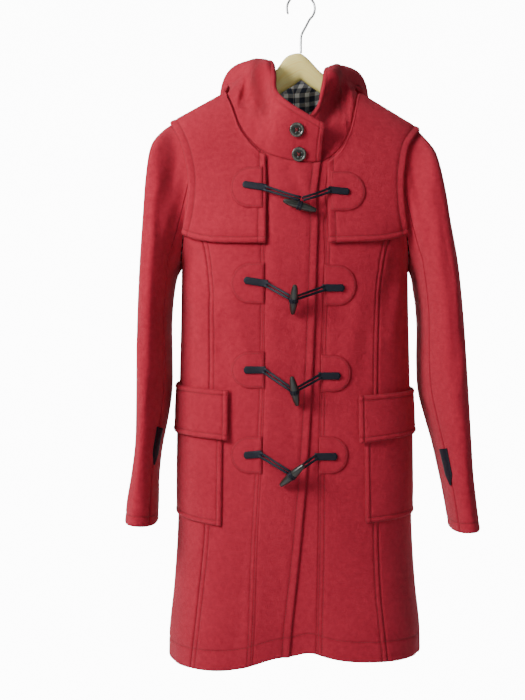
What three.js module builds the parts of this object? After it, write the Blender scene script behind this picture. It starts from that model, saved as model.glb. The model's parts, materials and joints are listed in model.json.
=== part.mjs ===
// A women's wool duffle coat, buttoned and hanging on a wooden hanger.
// Millimetres, +Z up, the wearer's front faces -Y. "right" and "left" are the wearer's own sides,
// so the right front, which laps over the left one, lies on the -X side.
// The origin is the point of the hook that bears on a rail.
import * as THREE from 'three';

// Driving sizes
const CLOTH = 2.6; // thick fulled wool
const SEAM_GAP = 0.3; // between two pieces that are sewn edge to edge
const LAYER_GAP = 0.5; // between a piece and the panel that it lies on
const LAP = CLOTH + LAYER_GAP; // how far one layer lifts the next
const CHEST_Z = 600; // height of the armpits above the hem
const COAT_X = 4; // middle of the body, from the middle of the neck
const HANGER_X = 14; // the coat hangs a little off the hanger's middle
const HOOK_TOP_Z = 1034; // bearing point of the hook above the hem
const SHOULDER = { neckHalf: 102, neckZ: 880, slopeRight: 0.555, slopeLeft: 0.61, crown: 0.28 };
const ROOF = { rise: 1.667, spread: 1.036 }; // powers of the round over the hanger
const SIDE_POWER = 2.7; // how square the body's section is

// Body sections, from the hem up: half widths and depths of the outer face
const BODY = [
  { z: -20, halfWidth: 195, front: 104, back: 100 },
  { z: 0, halfWidth: 197, front: 104, back: 100 },
  { z: 45, halfWidth: 196, front: 102, back: 99 },
  { z: 110, halfWidth: 189, front: 99, back: 97 },
  { z: 200, halfWidth: 183, front: 95, back: 94 },
  { z: 320, halfWidth: 181, front: 89, back: 89 },
  { z: 430, halfWidth: 180, front: 83, back: 82 },
  { z: 520, halfWidth: 178, front: 81, back: 79 },
  { z: 600, halfWidth: 177, front: 82, back: 80 },
  { z: 700, halfWidth: 177, front: 82, back: 80 },
  { z: 960, halfWidth: 177, front: 82, back: 80 },
];

// Soft flutes that open towards the hem: where, how wide, how deep at the hem, how high they reach.
// turn is the bearing round the body in degrees, 0 at the front and positive towards +X.
const FLUTES = [
  { turn: -4, spread: 18, depth: -14, reach: 420 },
  { turn: -40, spread: 16, depth: 7, reach: 380 },
  { turn: 44, spread: 17, depth: 7, reach: 360 },
  { turn: 78, spread: 9, depth: -5, reach: 300 },
  { turn: -76, spread: 10, depth: -4, reach: 330 },
  { turn: 118, spread: 13, depth: 8, reach: 420 },
  { turn: 146, spread: 10, depth: -10, reach: 470 },
  { turn: 181, spread: 14, depth: 9, reach: 500 },
  { turn: 214, spread: 10, depth: -9, reach: 440 },
  { turn: 242, spread: 13, depth: 8, reach: 400 },
];

// Lines on the front, x at each height z, from the middle of the neck
const LAP_EDGE = [
  { z: -20, x: -6 },
  { z: 24, x: -4 },
  { z: 132, x: 6 },
  { z: 207, x: 13 },
  { z: 312, x: 22 },
  { z: 477, x: 31 },
  { z: 650, x: 37 },
  { z: 747, x: 42 },
  { z: 900, x: 46 },
];
const UNDERLAP_EDGE_SETBACK = 58; // the left front reaches this far behind the lap's edge
const PRINCESS_RIGHT = [
  { z: -20, x: -155 },
  { z: 48, x: -148 },
  { z: 115, x: -141 },
  { z: 206, x: -133 },
  { z: 424, x: -127 },
  { z: 522, x: -127 },
  { z: 587, x: -129 },
  { z: 641, x: -137 },
  { z: 700, x: -159 },
];
const PRINCESS_LEFT = [
  { z: -20, x: 140 },
  { z: 48, x: 134 },
  { z: 115, x: 129 },
  { z: 206, x: 127 },
  { z: 424, x: 128 },
  { z: 522, x: 130 },
  { z: 587, x: 134 },
  { z: 641, x: 145 },
  { z: 700, x: 169 },
];
const ARMHOLE_RIGHT = [
  { z: 597, x: -176 },
  { z: 630, x: -171 },
  { z: 659, x: -167 },
  { z: 700, x: -161 },
  { z: 735, x: -160 },
  { z: 760, x: -163 },
  { z: 796, x: -173 },
  { z: 830, x: -190 },
];
const ARMHOLE_LEFT = [
  { z: 597, x: 183 },
  { z: 630, x: 179 },
  { z: 659, x: 174 },
  { z: 700, x: 170 },
  { z: 735, x: 170 },
  { z: 760, x: 173 },
  { z: 791, x: 180 },
  { z: 817, x: 198 },
];

const clamp = (v, lo, hi) => Math.min(hi, Math.max(lo, v));
const lerp = (a, b, t) => a + (b - a) * t;
const smooth = (t) => {
  const c = clamp(t, 0, 1);
  return c * c * (3 - 2 * c);
};
const rad = THREE.MathUtils.degToRad;
const deg = THREE.MathUtils.radToDeg;

// Reads a column of a table at a height, along a smooth curve through its rows
function read(table, column, at, key = 'z') {
  const n = table.length;
  if (at <= table[0][key]) return table[0][column];
  if (at >= table[n - 1][key]) return table[n - 1][column];
  const i = table.findIndex((row, k) => k < n - 1 && at <= table[k + 1][key]);
  const [k0, k1, k2, k3] = [Math.max(i - 1, 0), i, i + 1, Math.min(i + 2, n - 1)];
  const span = table[k2][key] - table[k1][key];
  const t = (at - table[k1][key]) / span;
  const slope = (a, b) => (table[b][column] - table[a][column]) / (table[b][key] - table[a][key] || 1);
  const m1 = slope(k0, k2) * span;
  const m2 = slope(k1, k3) * span;
  const [t2, t3] = [t * t, t * t * t];
  return (
    (2 * t3 - 3 * t2 + 1) * table[k1][column] +
    (t3 - 2 * t2 + t) * m1 +
    (3 * t2 - 2 * t3) * table[k2][column] +
    (t3 - t2) * m2
  );
}

// The shoulder line's height over x. Inside the neck hole it is only a guide for the cloth round it.
function ridgeZ(x) {
  const out = Math.abs(x) - SHOULDER.neckHalf;
  if (out < 0) return SHOULDER.neckZ - SHOULDER.crown * out;
  return SHOULDER.neckZ - out * (x < 0 ? SHOULDER.slopeRight : SHOULDER.slopeLeft);
}

// Half width that shapes the section: it opens out above the armpits, where the sleeves take over
function sectionHalfWidth(z) {
  const open = smooth((z - CHEST_Z) / 230);
  return lerp(read(BODY, 'halfWidth', z), 300, open);
}

function flute(turn, z) {
  let sum = 0;
  for (const f of FLUTES) {
    let d = turn - f.turn;
    d -= 360 * Math.round(d / 360);
    const rise = clamp(1 - z / f.reach, 0, 1.1);
    sum += f.depth * Math.exp(-((d / f.spread) ** 2)) * rise * rise;
  }
  return sum;
}

// The coat's bare form. turn runs from -90 (right side) through 0 (front) to 90 (left side) and beyond,
// row runs from 0 at the hem to 1 at the armpits and 2 on the shoulder line, then down the back to 4.
function bareForm(turn, row) {
  let [a, r] = [turn, row];
  if (a > 90) [a, r] = [180 - a, 4 - r];
  if (a < -90) [a, r] = [-180 - a, 4 - r];
  const back = r > 2;
  if (back) r = 4 - r;
  let z = r * CHEST_Z;
  let x = COAT_X + sectionHalfWidth(z) * Math.sin(rad(a));
  let roof = 1;
  if (r > 1) {
    const lean = rad(90 * (2 - r));
    // the shoulder line's height depends on x, which depends on the height: a few turns settle both
    for (let k = 0; k < 8; k += 1) {
      z = CHEST_Z + (ridgeZ(x) - CHEST_Z) * Math.cos(lean) ** ROOF.rise;
      x = COAT_X + sectionHalfWidth(z) * Math.sin(rad(a));
    }
    roof = Math.sin(lean) ** ROOF.spread;
  }
  const share = Math.abs(Math.sin(rad(a)));
  const side = Math.max(0, 1 - share ** SIDE_POWER) ** (1 / SIDE_POWER);
  const depth = read(BODY, back ? 'back' : 'front', z) * roof * side;
  return new THREE.Vector3(x, back ? depth : -depth, z);
}

function outward(form, a, r, da = 0.4, dr = 0.004) {
  const across = form(a + da, r).sub(form(a - da, r));
  const up = form(a, r + dr).sub(form(a, r - dr));
  return across.cross(up).normalize();
}

// The hem dips and rises with the flutes and lifts where the fronts meet
function hemLift(turn) {
  let d = turn + 4;
  d -= 360 * Math.round(d / 360);
  const leftFront = smooth(d / 12) * (1 - smooth((turn - 60) / 60));
  return 19 * Math.exp(-((d / 17) ** 2)) + 13 * leftFront;
}

function form(turn, row) {
  const p = bareForm(turn, row);
  const r = Math.abs(row > 2 ? 4 - row : row);
  const bearing = row > 2 ? 180 - turn : turn;
  p.addScaledVector(outward(bareForm, turn, row), flute(bearing, p.z));
  p.z += hemLift(bearing) * (1 - smooth(r * 3)) * (row <= 2 ? 1 : 0.2);
  return p;
}

function onCoat(turn, row, off = 0) {
  return form(turn, row).addScaledVector(outward(form, turn, row), off);
}

// Turn and row for a place on the front (or back) that is given by x and height
function turnAt(x, z) {
  return deg(Math.asin(clamp((x - COAT_X) / sectionHalfWidth(z), -1, 1)));
}
function rowAt(x, z) {
  if (z <= CHEST_Z) return z / CHEST_Z;
  const share = clamp((z - CHEST_Z) / (ridgeZ(x) - CHEST_Z), 0, 1);
  return 2 - deg(Math.acos(share ** (1 / ROOF.rise))) / 90;
}
function frontPoint(x, z, off = 0) {
  return onCoat(turnAt(x, z), rowAt(x, z), off);
}
function backPoint(x, z, off = 0) {
  return onCoat(turnAt(x, z), 4 - rowAt(x, z), off);
}

// How far the right front stands off the form where it lies over the left front
function lapLift(x, z) {
  return LAP * smooth((x - (read(LAP_EDGE, 'x', z) - UNDERLAP_EDGE_SETBACK - 26)) / 22);
}

// Closed solids
function solid(positions, triangles) {
  let volume = 0;
  const at = (i) => new THREE.Vector3().fromArray(positions, 3 * i);
  for (let k = 0; k < triangles.length; k += 3) {
    volume += at(triangles[k]).dot(at(triangles[k + 1]).cross(at(triangles[k + 2])));
  }
  const index = volume < 0 ? triangles.slice().reverse() : triangles;
  const geometry = new THREE.BufferGeometry();
  geometry.setAttribute('position', new THREE.Float32BufferAttribute(positions, 3));
  geometry.setIndex(index);
  geometry.computeVertexNormals();
  return geometry;
}

// A wall of cloth over a grid: point(s, t, face) gives the outer face at 1 and the inner face at 0.
// across and along hold the grid's shares from 0 to 1. closed joins the last column to the first.
function wall(point, across, along, closed = false) {
  const columns = across.length;
  const rows = along.length;
  const positions = [];
  for (const face of [1, 0]) {
    for (const t of along) for (const s of across) positions.push(...point(s, t, face).toArray());
  }
  const id = (face, i, j) => (face ? 0 : columns * rows) + j * columns + (i % columns);
  const triangles = [];
  const quad = (a, b, c, d) => triangles.push(a, b, c, a, c, d);
  const last = closed ? columns : columns - 1;
  for (let j = 0; j < rows - 1; j += 1) {
    for (let i = 0; i < last; i += 1) {
      quad(id(1, i, j), id(1, i + 1, j), id(1, i + 1, j + 1), id(1, i, j + 1));
      triangles.push(id(0, i, j), id(0, i + 1, j + 1), id(0, i + 1, j));
      triangles.push(id(0, i, j), id(0, i, j + 1), id(0, i + 1, j + 1));
    }
  }
  for (let i = 0; i < last; i += 1) {
    quad(id(0, i, 0), id(0, i + 1, 0), id(1, i + 1, 0), id(1, i, 0));
    quad(id(1, i, rows - 1), id(1, i + 1, rows - 1), id(0, i + 1, rows - 1), id(0, i, rows - 1));
  }
  if (!closed) {
    for (let j = 0; j < rows - 1; j += 1) {
      quad(id(1, 0, j), id(1, 0, j + 1), id(0, 0, j + 1), id(0, 0, j));
      quad(id(0, columns - 1, j), id(0, columns - 1, j + 1), id(1, columns - 1, j + 1), id(1, columns - 1, j));
    }
  }
  return solid(positions, triangles);
}

const steps = (n) => Array.from({ length: n + 1 }, (_, i) => i / n);

const NAMES = { [-1]: 'right', 1: 'left' };
const RED = { color: 0xa5202c, roughness: 0.92, metalness: 0 };
const NAVY = { color: 0x1c2230, roughness: 0.6, metalness: 0 };
const HORN = { color: 0x3b4038, roughness: 0.35, metalness: 0 };
const WOOD = { color: 0xd9b57a, roughness: 0.5, metalness: 0 };
const STEEL = { color: 0xc8ccd0, roughness: 0.3, metalness: 1 };
const coat = new THREE.Group();

function piece(name, geometry, look) {
  const mesh = new THREE.Mesh(geometry, new THREE.MeshStandardMaterial(look));
  mesh.name = name;
  coat.add(mesh);
}

// Neckline heights over x, on the front and on the back
const NECK_FRONT = [
  { x: -102, z: 879 },
  { x: -92, z: 856 },
  { x: -81, z: 824 },
  { x: -55, z: 789 },
  { x: -30, z: 773 },
  { x: 0, z: 765 },
  { x: 40, z: 763 },
  { x: 72, z: 786 },
  { x: 88, z: 820 },
  { x: 95, z: 851 },
  { x: 102, z: 879 },
];
const NECK_BACK_Z = 857;
const necklineFront = (x) => read(NECK_FRONT, 'z', x, 'x');
const necklineBack = (x) =>
  lerp(NECK_BACK_Z, SHOULDER.neckZ - 1, clamp(Math.abs(x) / SHOULDER.neckHalf, 0, 1) ** 2);

// Rows of the form as heights, and lines of the tables as bearings
function heightAt(x, row) {
  if (row <= 1) return row * CHEST_Z;
  return CHEST_Z + (ridgeZ(x) - CHEST_Z) * Math.cos(rad(90 * (2 - row))) ** ROOF.rise;
}
function lineX(table, row) {
  let x = table[0].x;
  for (let k = 0; k < 8; k += 1) x = read(table, 'x', heightAt(x, row));
  return x;
}
function lineTurn(table, row, shift = 0) {
  const x = lineX(table, row) + shift;
  return turnAt(x, heightAt(x, row));
}
function armholeTurn(side, row) {
  if (row <= 1) return side * (90 - SEAM_TURN);
  return lineTurn(side < 0 ? ARMHOLE_RIGHT : ARMHOLE_LEFT, row);
}
const xOf = (turn, row) => bareForm(turn, row).x;

// Where a column ends at the top: on the neckline, or on the shoulder line
const RIDGE_ROW = 2 - 0.0035;
function topRow(turn, back) {
  let row = RIDGE_ROW;
  for (let k = 0; k < 6; k += 1) {
    const x = xOf(turn, row);
    if (Math.abs(x) >= SHOULDER.neckHalf) return RIDGE_ROW;
    row = Math.min(RIDGE_ROW, rowAt(x, back ? necklineBack(x) : necklineFront(x)));
  }
  return row;
}

// A panel of the body: from and to are bearings over the row. Above SPLIT_ROW the rows climb to the
// neckline or the shoulder line. All panels share these rows, so their seams run side by side.
function panel({ from, to, back = false, lift = () => 0, spread = (s) => s }) {
  return (s, level, face) => {
    const turn = lerp(from(level), to(level), spread(s, level));
    const climb = Math.max(0, (level - SPLIT_ROW) / (2 - SPLIT_ROW));
    const top = topRow(lerp(from(2), to(2), spread(s, 2)), back);
    const row = level <= SPLIT_ROW ? level : lerp(SPLIT_ROW, top, climb);
    const x = xOf(turn, row);
    const off = lift(x, heightAt(x, row)) - (face ? 0 : CLOTH);
    return onCoat(turn, back ? 4 - row : row, off);
  };
}

// Half a seam gap, as a turn, at the coat's front
const SEAM_TURN = 0.06;
const SPLIT_ROW = 1.28;
// Columns of the centre fronts run evenly below, from the opening to the side, and gather at the top
// round the neck's corner: where each of them ends there, as a share of the way to the armhole
const FRONT_COLUMNS = steps(13);
const FRONT_TOPS = {
  [-1]: [0, 0.083, 0.166, 0.25, 0.333, 0.409, 0.474, 0.523, 0.561, 0.597, 0.689, 0.787, 0.89, 1],
  1: [0, 0.088, 0.172, 0.247, 0.31, 0.368, 0.413, 0.446, 0.473, 0.513, 0.624, 0.742, 0.866, 1],
};
const BACK_COLUMNS = {
  [-1]: [0, 0.1, 0.2, 0.3, 0.42, 0.517, 0.61, 0.71, 0.81, 0.91, 1],
  1: [0, 0.1, 0.2, 0.3, 0.4, 0.477, 0.58, 0.69, 0.8, 0.9, 1],
};
const ROWS_BELOW = [...steps(13), 1.1, 1.19, SPLIT_ROW];
const YOKE_TOP = 1.96; // the yokes end just short of the neckline and the shoulder seam
const ROWS = [...ROWS_BELOW, 1.38, 1.49, 1.61, 1.73, 1.85, YOKE_TOP, 2];
const HALF_SETBACK = -UNDERLAP_EDGE_SETBACK;

function frontSpread(side) {
  const tops = FRONT_TOPS[side];
  return (s, level) => {
    const i = Math.min(Math.floor(s * 13 + 1e-6), 12);
    const top = lerp(tops[i], tops[i + 1], s * 13 - i);
    return lerp(s, top, smooth((level - SPLIT_ROW) / (2 - SPLIT_ROW)));
  };
}
function centreFront(side, lift = () => 0) {
  const princess = side < 0 ? PRINCESS_RIGHT : PRINCESS_LEFT;
  const armhole = side < 0 ? ARMHOLE_RIGHT : ARMHOLE_LEFT;
  const seamEnd = princess[princess.length - 1].z;
  const outer = (row) => {
    const pastSeam = row > 1 && heightAt(lineX(armhole, row), row) > seamEnd;
    return pastSeam ? armholeTurn(side, row) : lineTurn(princess, row) - side * SEAM_TURN;
  };
  return panel({
    from: (row) => lineTurn(LAP_EDGE, row, side < 0 ? 0 : HALF_SETBACK),
    to: outer,
    lift: (x, z) => lift(x, z) + (side < 0 ? lapLift(x, z) : 0),
    spread: frontSpread(side),
  });
}
function sideFront(side) {
  const princess = side < 0 ? PRINCESS_RIGHT : PRINCESS_LEFT;
  return panel({
    from: (row) => lineTurn(princess, row) + side * SEAM_TURN,
    to: (row) => armholeTurn(side, row),
  });
}

function backHalf(side, lift = () => 0) {
  return panel({
    from: () => side * SEAM_TURN,
    to: (row) => armholeTurn(side, row),
    back: true,
    lift,
  });
}

for (const side of [-1, 1]) {
  piece(`front_centre_${NAMES[side]}`, wall(centreFront(side), FRONT_COLUMNS, ROWS), RED);
  piece(`front_side_${NAMES[side]}`, wall(sideFront(side), steps(6), ROWS_BELOW), RED);
  piece(`back_${NAMES[side]}`, wall(backHalf(side), BACK_COLUMNS[side], ROWS), RED);
}

// The storm yoke: two front flaps with a free lower edge, and one across the shoulders behind.
// Each is its panel's own rows and columns, lifted, with an edge of its own below and inside.
const YOKE_FRONT = [
  { side: -1, innerX: -41, lowInner: 637, lowOuter: 655, sag: 5 },
  { side: 1, innerX: 52, lowInner: 637, lowOuter: 655, sag: 3 },
];
const YOKE_BACK_LOW = { centre: 636, outer: 652 };
const YOKE_FLARE = 2.5; // the free edge stands off by this much more
const YOKE_EASE = 0.8; // the yoke lies a little looser than a pocket
const YOKE_ROWS = ROWS.slice(ROWS.indexOf(SPLIT_ROW), -1);

function yokeFlare(row) {
  return YOKE_FLARE * (1 - smooth((row - 1.2) / 0.3));
}
for (const yoke of YOKE_FRONT) {
  const { side } = yoke;
  const opening = (level) => lineTurn(LAP_EDGE, level, side < 0 ? 0 : HALF_SETBACK);
  const innerShare = (level) => {
    const at = turnAt(yoke.innerX, heightAt(yoke.innerX, level));
    return (at - opening(level)) / (armholeTurn(side, level) - opening(level));
  };
  const spread = frontSpread(side);
  const base = panel({
    from: opening,
    to: (level) => armholeTurn(side, level),
    lift: (x, z) => LAP + YOKE_EASE + yokeFlare(rowAt(x, z)) + (side < 0 ? lapLift(x, z) : 0),
    spread: (s, level) => (s === 0 ? innerShare(level) : spread(s, level)),
  });
  const lowRow = (s) => {
    const x = lerp(yoke.innerX, side < 0 ? -167 : 175, s);
    return rowAt(x, lerp(yoke.lowInner, yoke.lowOuter, s) - yoke.sag * Math.sin(Math.PI * s));
  };
  const edge = innerShare(1.2);
  const columns = FRONT_COLUMNS.filter((s) => s > innerShare(2) + 0.05 && s > edge + 0.02);
  const point = (s, level, face) => {
    const row = level || lowRow(clamp(((s || edge) - edge) / (1 - edge), 0, 1));
    return base(s, row, face);
  };
  piece(`yoke_front_${NAMES[side]}`, wall(point, [0, ...columns], [0, ...YOKE_ROWS]), RED);
}
{
  const halves = { [-1]: backHalf(-1, yokeBackLift), 1: backHalf(1, yokeBackLift) };
  const point = (s, level, face) => {
    const side = s < 0 ? -1 : 1;
    const x = COAT_X + s * 168;
    const low = rowAt(x, lerp(YOKE_BACK_LOW.centre, YOKE_BACK_LOW.outer, s * s));
    return halves[side](Math.abs(s), level || low, face);
  };
  const columns = [...BACK_COLUMNS[-1].slice(1).reverse().map((s) => -s), ...BACK_COLUMNS[1]];
  piece('yoke_back', wall(point, columns, [0, ...YOKE_ROWS]), RED);
}
function yokeBackLift(x, z) {
  return LAP + YOKE_EASE + yokeFlare(rowAt(x, z));
}

// Two-piece sleeves. Each ring is given by its outermost and innermost point, its half depth,
// how far its outer side swings forward, and where its middle lies from front to back.
const SLEEVE_RIGHT = [
  { ring: 0, outX: -191, outZ: 829, inX: -173, inZ: 600, half: 62, swing: 0, midY: 0 },
  { ring: 1, outX: -210, outZ: 814, inX: -179, inZ: 594, half: 68, swing: 2, midY: 0 },
  { ring: 2, outX: -222, outZ: 789, inX: -183, inZ: 584, half: 72, swing: 5, midY: 0 },
  { ring: 3, outX: -228, outZ: 742, inX: -185, inZ: 566, half: 75, swing: 9, midY: -1 },
  { ring: 4, outX: -231, outZ: 690, inX: -187, inZ: 545, half: 75, swing: 13, midY: -3 },
  { ring: 5, outX: -235, outZ: 620, inX: -189, inZ: 508, half: 73, swing: 17, midY: -6 },
  { ring: 6, outX: -238, outZ: 545, inX: -188, inZ: 460, half: 70, swing: 20, midY: -10 },
  { ring: 7, outX: -239, outZ: 470, inX: -188, inZ: 412, half: 67, swing: 22, midY: -15 },
  { ring: 8, outX: -239, outZ: 400, inX: -194, inZ: 368, half: 64, swing: 20, midY: -21 },
  { ring: 9, outX: -240, outZ: 340, inX: -203, inZ: 322, half: 61, swing: 16, midY: -27 },
  { ring: 10, outX: -246, outZ: 290, inX: -207, inZ: 280, half: 60, swing: 10, midY: -32 },
  { ring: 11, outX: -253, outZ: 250, inX: -207, inZ: 244, half: 60, swing: 6, midY: -35 },
  { ring: 12, outX: -256, outZ: 216, inX: -208, inZ: 212, half: 60, swing: 4, midY: -37 },
];
const SLEEVE_LEFT = [
  { ring: 0, outX: 199, outZ: 816, inX: 181, inZ: 600, half: 62, swing: 0, midY: 0 },
  { ring: 1, outX: 213, outZ: 802, inX: 187, inZ: 594, half: 68, swing: 2, midY: 0 },
  { ring: 2, outX: 225, outZ: 780, inX: 191, inZ: 584, half: 72, swing: 5, midY: 0 },
  { ring: 3, outX: 236, outZ: 730, inX: 193, inZ: 566, half: 75, swing: 9, midY: -1 },
  { ring: 4, outX: 243, outZ: 680, inX: 196, inZ: 545, half: 75, swing: 13, midY: -3 },
  { ring: 5, outX: 254, outZ: 612, inX: 198, inZ: 508, half: 73, swing: 17, midY: -6 },
  { ring: 6, outX: 261, outZ: 535, inX: 197, inZ: 460, half: 70, swing: 20, midY: -10 },
  { ring: 7, outX: 265, outZ: 462, inX: 199, inZ: 412, half: 67, swing: 22, midY: -15 },
  { ring: 8, outX: 268, outZ: 400, inX: 209, inZ: 368, half: 64, swing: 20, midY: -21 },
  { ring: 9, outX: 271, outZ: 340, inX: 221, inZ: 322, half: 61, swing: 16, midY: -27 },
  { ring: 10, outX: 274, outZ: 290, inX: 230, inZ: 280, half: 60, swing: 10, midY: -32 },
  { ring: 11, outX: 279, outZ: 246, inX: 237, inZ: 240, half: 59, swing: 6, midY: -35 },
  { ring: 12, outX: 284, outZ: 206, inX: 243, inZ: 202, half: 58, swing: 4, midY: -37 },
];
const SLEEVE_CLEAR = { tip: 6, side: 2.6 }; // from the armhole's edge, at the shoulder and below it
const SLEEVE_RINGS = SLEEVE_RIGHT.length - 1;

// The armhole's edge on the body: 0 at the shoulder, 90 on the front, 180 at the armpit, 270 behind
function armholePoint(side, around) {
  const a = ((around % 360) + 360) % 360;
  const toFront = a <= 180;
  const share = (toFront ? a : 360 - a) / 180;
  const row = 1 + (RIDGE_ROW - 1) * Math.cos(share * Math.PI / 2) ** 0.9;
  const turn = armholeTurn(side, row);
  const p = onCoat(turn, toFront ? row : 4 - row, 0);
  p.x += side * lerp(SLEEVE_CLEAR.tip, SLEEVE_CLEAR.side, smooth(share * 4));
  return p;
}
function sleeveForm(side, around, along) {
  const table = side < 0 ? SLEEVE_RIGHT : SLEEVE_LEFT;
  const ring = along * SLEEVE_RINGS;
  const get = (column) => read(table, column, ring, 'ring');
  const out = new THREE.Vector3(get('outX'), get('midY') - get('swing'), get('outZ'));
  const inn = new THREE.Vector3(get('inX'), get('midY') + get('swing'), get('inZ'));
  const middle = out.clone().add(inn).multiplyScalar(0.5);
  const reach = out.sub(inn).multiplyScalar(0.5);
  const c = Math.cos(rad(around));
  const s = Math.sin(rad(around));
  const p = middle.addScaledVector(reach, Math.sign(c) * Math.abs(c) ** 0.86);
  p.y -= get('half') * Math.sign(s) * Math.abs(s) ** 0.86;
  const seat = 1 - smooth(ring / 1.6);
  return p.lerp(armholePoint(side, around), seat);
}
function onSleeve(side, around, along, off) {
  const across = sleeveForm(side, around + 2, along).sub(sleeveForm(side, around - 2, along));
  const down = sleeveForm(side, around, Math.min(1, along + 0.01))
    .sub(sleeveForm(side, around, Math.max(0, along - 0.01)));
  const normal = across.cross(down).normalize().multiplyScalar(side < 0 ? -1 : 1);
  return sleeveForm(side, around, along).addScaledVector(normal, off);
}
const SLEEVE_ROWS = [0, 0.03, 0.06, 0.1, 0.15, 0.21, 0.28, 0.35, 0.42, 0.49, 0.56, 0.63, 0.7, 0.77, 0.85, 0.93, 1];
const UNDER_SLEEVE = { front: 128, back: 236, gap: 1 };
for (const side of [-1, 1]) {
  const arc = (from, to) => (s, t, face) =>
    onSleeve(side, lerp(from, to, s), t, face ? 0 : -CLOTH);
  const { front, back, gap } = UNDER_SLEEVE;
  piece(`sleeve_top_${NAMES[side]}`, wall(arc(back - 360 + gap, front - gap), steps(12), SLEEVE_ROWS), RED);
  piece(`sleeve_under_${NAMES[side]}`, wall(arc(front + gap, back - gap), steps(5), SLEEVE_ROWS), RED);
}

// The hood, worn down: a stand round the neck whose rim rolls at the sides and falls behind.
// Profiles run from the neckline's seam to the rim, for the right half, on the outer face.
// seam is the place on the neckline, in x, and back tells on which side of the shoulder line.
const HOOD = [
  { seam: 46, back: false, path: [[46, -62, 780], [50, -78, 815]] },
  { seam: 0, back: false, path: [[0, -60, 765], [-2, -73, 812], [-4, -74, 849]] },
  { seam: -30, back: false, path: [[-30, -58, 771], [-28, -66, 820], [-24, -60, 870]] },
  { seam: -55, back: false, path: [[-55, -48, 789], [-52, -54, 835], [-44, -48, 872], [-27, -42, 892]] },
  {
    seam: -84,
    back: false,
    path: [[-84, -24, 830], [-77, -30, 858], [-66, -24, 884], [-52, -26, 908], [-27, -18, 916]],
  },
  {
    seam: -101,
    back: false,
    path: [[-101, 2, 880], [-88, 0, 894], [-78, 4, 908], [-76, 10, 926], [-58, 14, 939], [-33, 10, 932]],
  },
  {
    seam: -85,
    back: true,
    path: [[-85, 22, 874], [-90, 32, 892], [-106, 44, 884], [-118, 58, 868], [-108, 66, 912], [-48, 48, 934]],
  },
  {
    seam: -50,
    back: true,
    path: [
      [-50, 32, 862], [-52, 42, 884], [-70, 60, 862], [-85, 85, 760],
      [-82, 108, 706], [-84, 130, 762], [-75, 120, 860], [-45, 92, 912],
    ],
  },
  {
    seam: 4,
    back: true,
    path: [
      [4, 36, 857], [4, 46, 880], [4, 64, 866], [4, 88, 740],
      [4, 112, 655], [4, 142, 720], [4, 142, 830], [4, 112, 897],
    ],
  },
];
const HOOD_LEFT = { rimOut: 12, rimDown: 12, throatDown: 14, behind: 10 }; // how it differs from the right
const HOOD_ROWS = steps(11);

// Walks along a smooth curve through points, at an even pace; share goes from 0 to 1
function walker(points) {
  const curve = new THREE.CatmullRomCurve3(points.map((p) => new THREE.Vector3(...p)), false, 'centripetal');
  curve.arcLengthDivisions = 120;
  return (share) => curve.getPointAt(clamp(share, 0, 1));
}

// The panels' own top corners along the neckline, from the front opening to the middle of the back
function necklineCorners(side) {
  const corners = [];
  const front = (s) => lerp(lineTurn(LAP_EDGE, 2, side < 0 ? 0 : HALF_SETBACK), armholeTurn(side, 2), s);
  for (const s of FRONT_TOPS[side]) {
    const turn = front(s);
    if (Math.abs(xOf(turn, 2)) > SHOULDER.neckHalf + 1) continue;
    corners.push({ turn, row: topRow(turn, false) });
  }
  for (const s of BACK_COLUMNS[side].slice().reverse()) {
    const turn = lerp(side * SEAM_TURN, armholeTurn(side, 2), s);
    if (Math.abs(xOf(turn, 2)) >= SHOULDER.neckHalf) continue;
    corners.push({ turn, row: 4 - topRow(turn, true) });
  }
  return corners;
}

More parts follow.
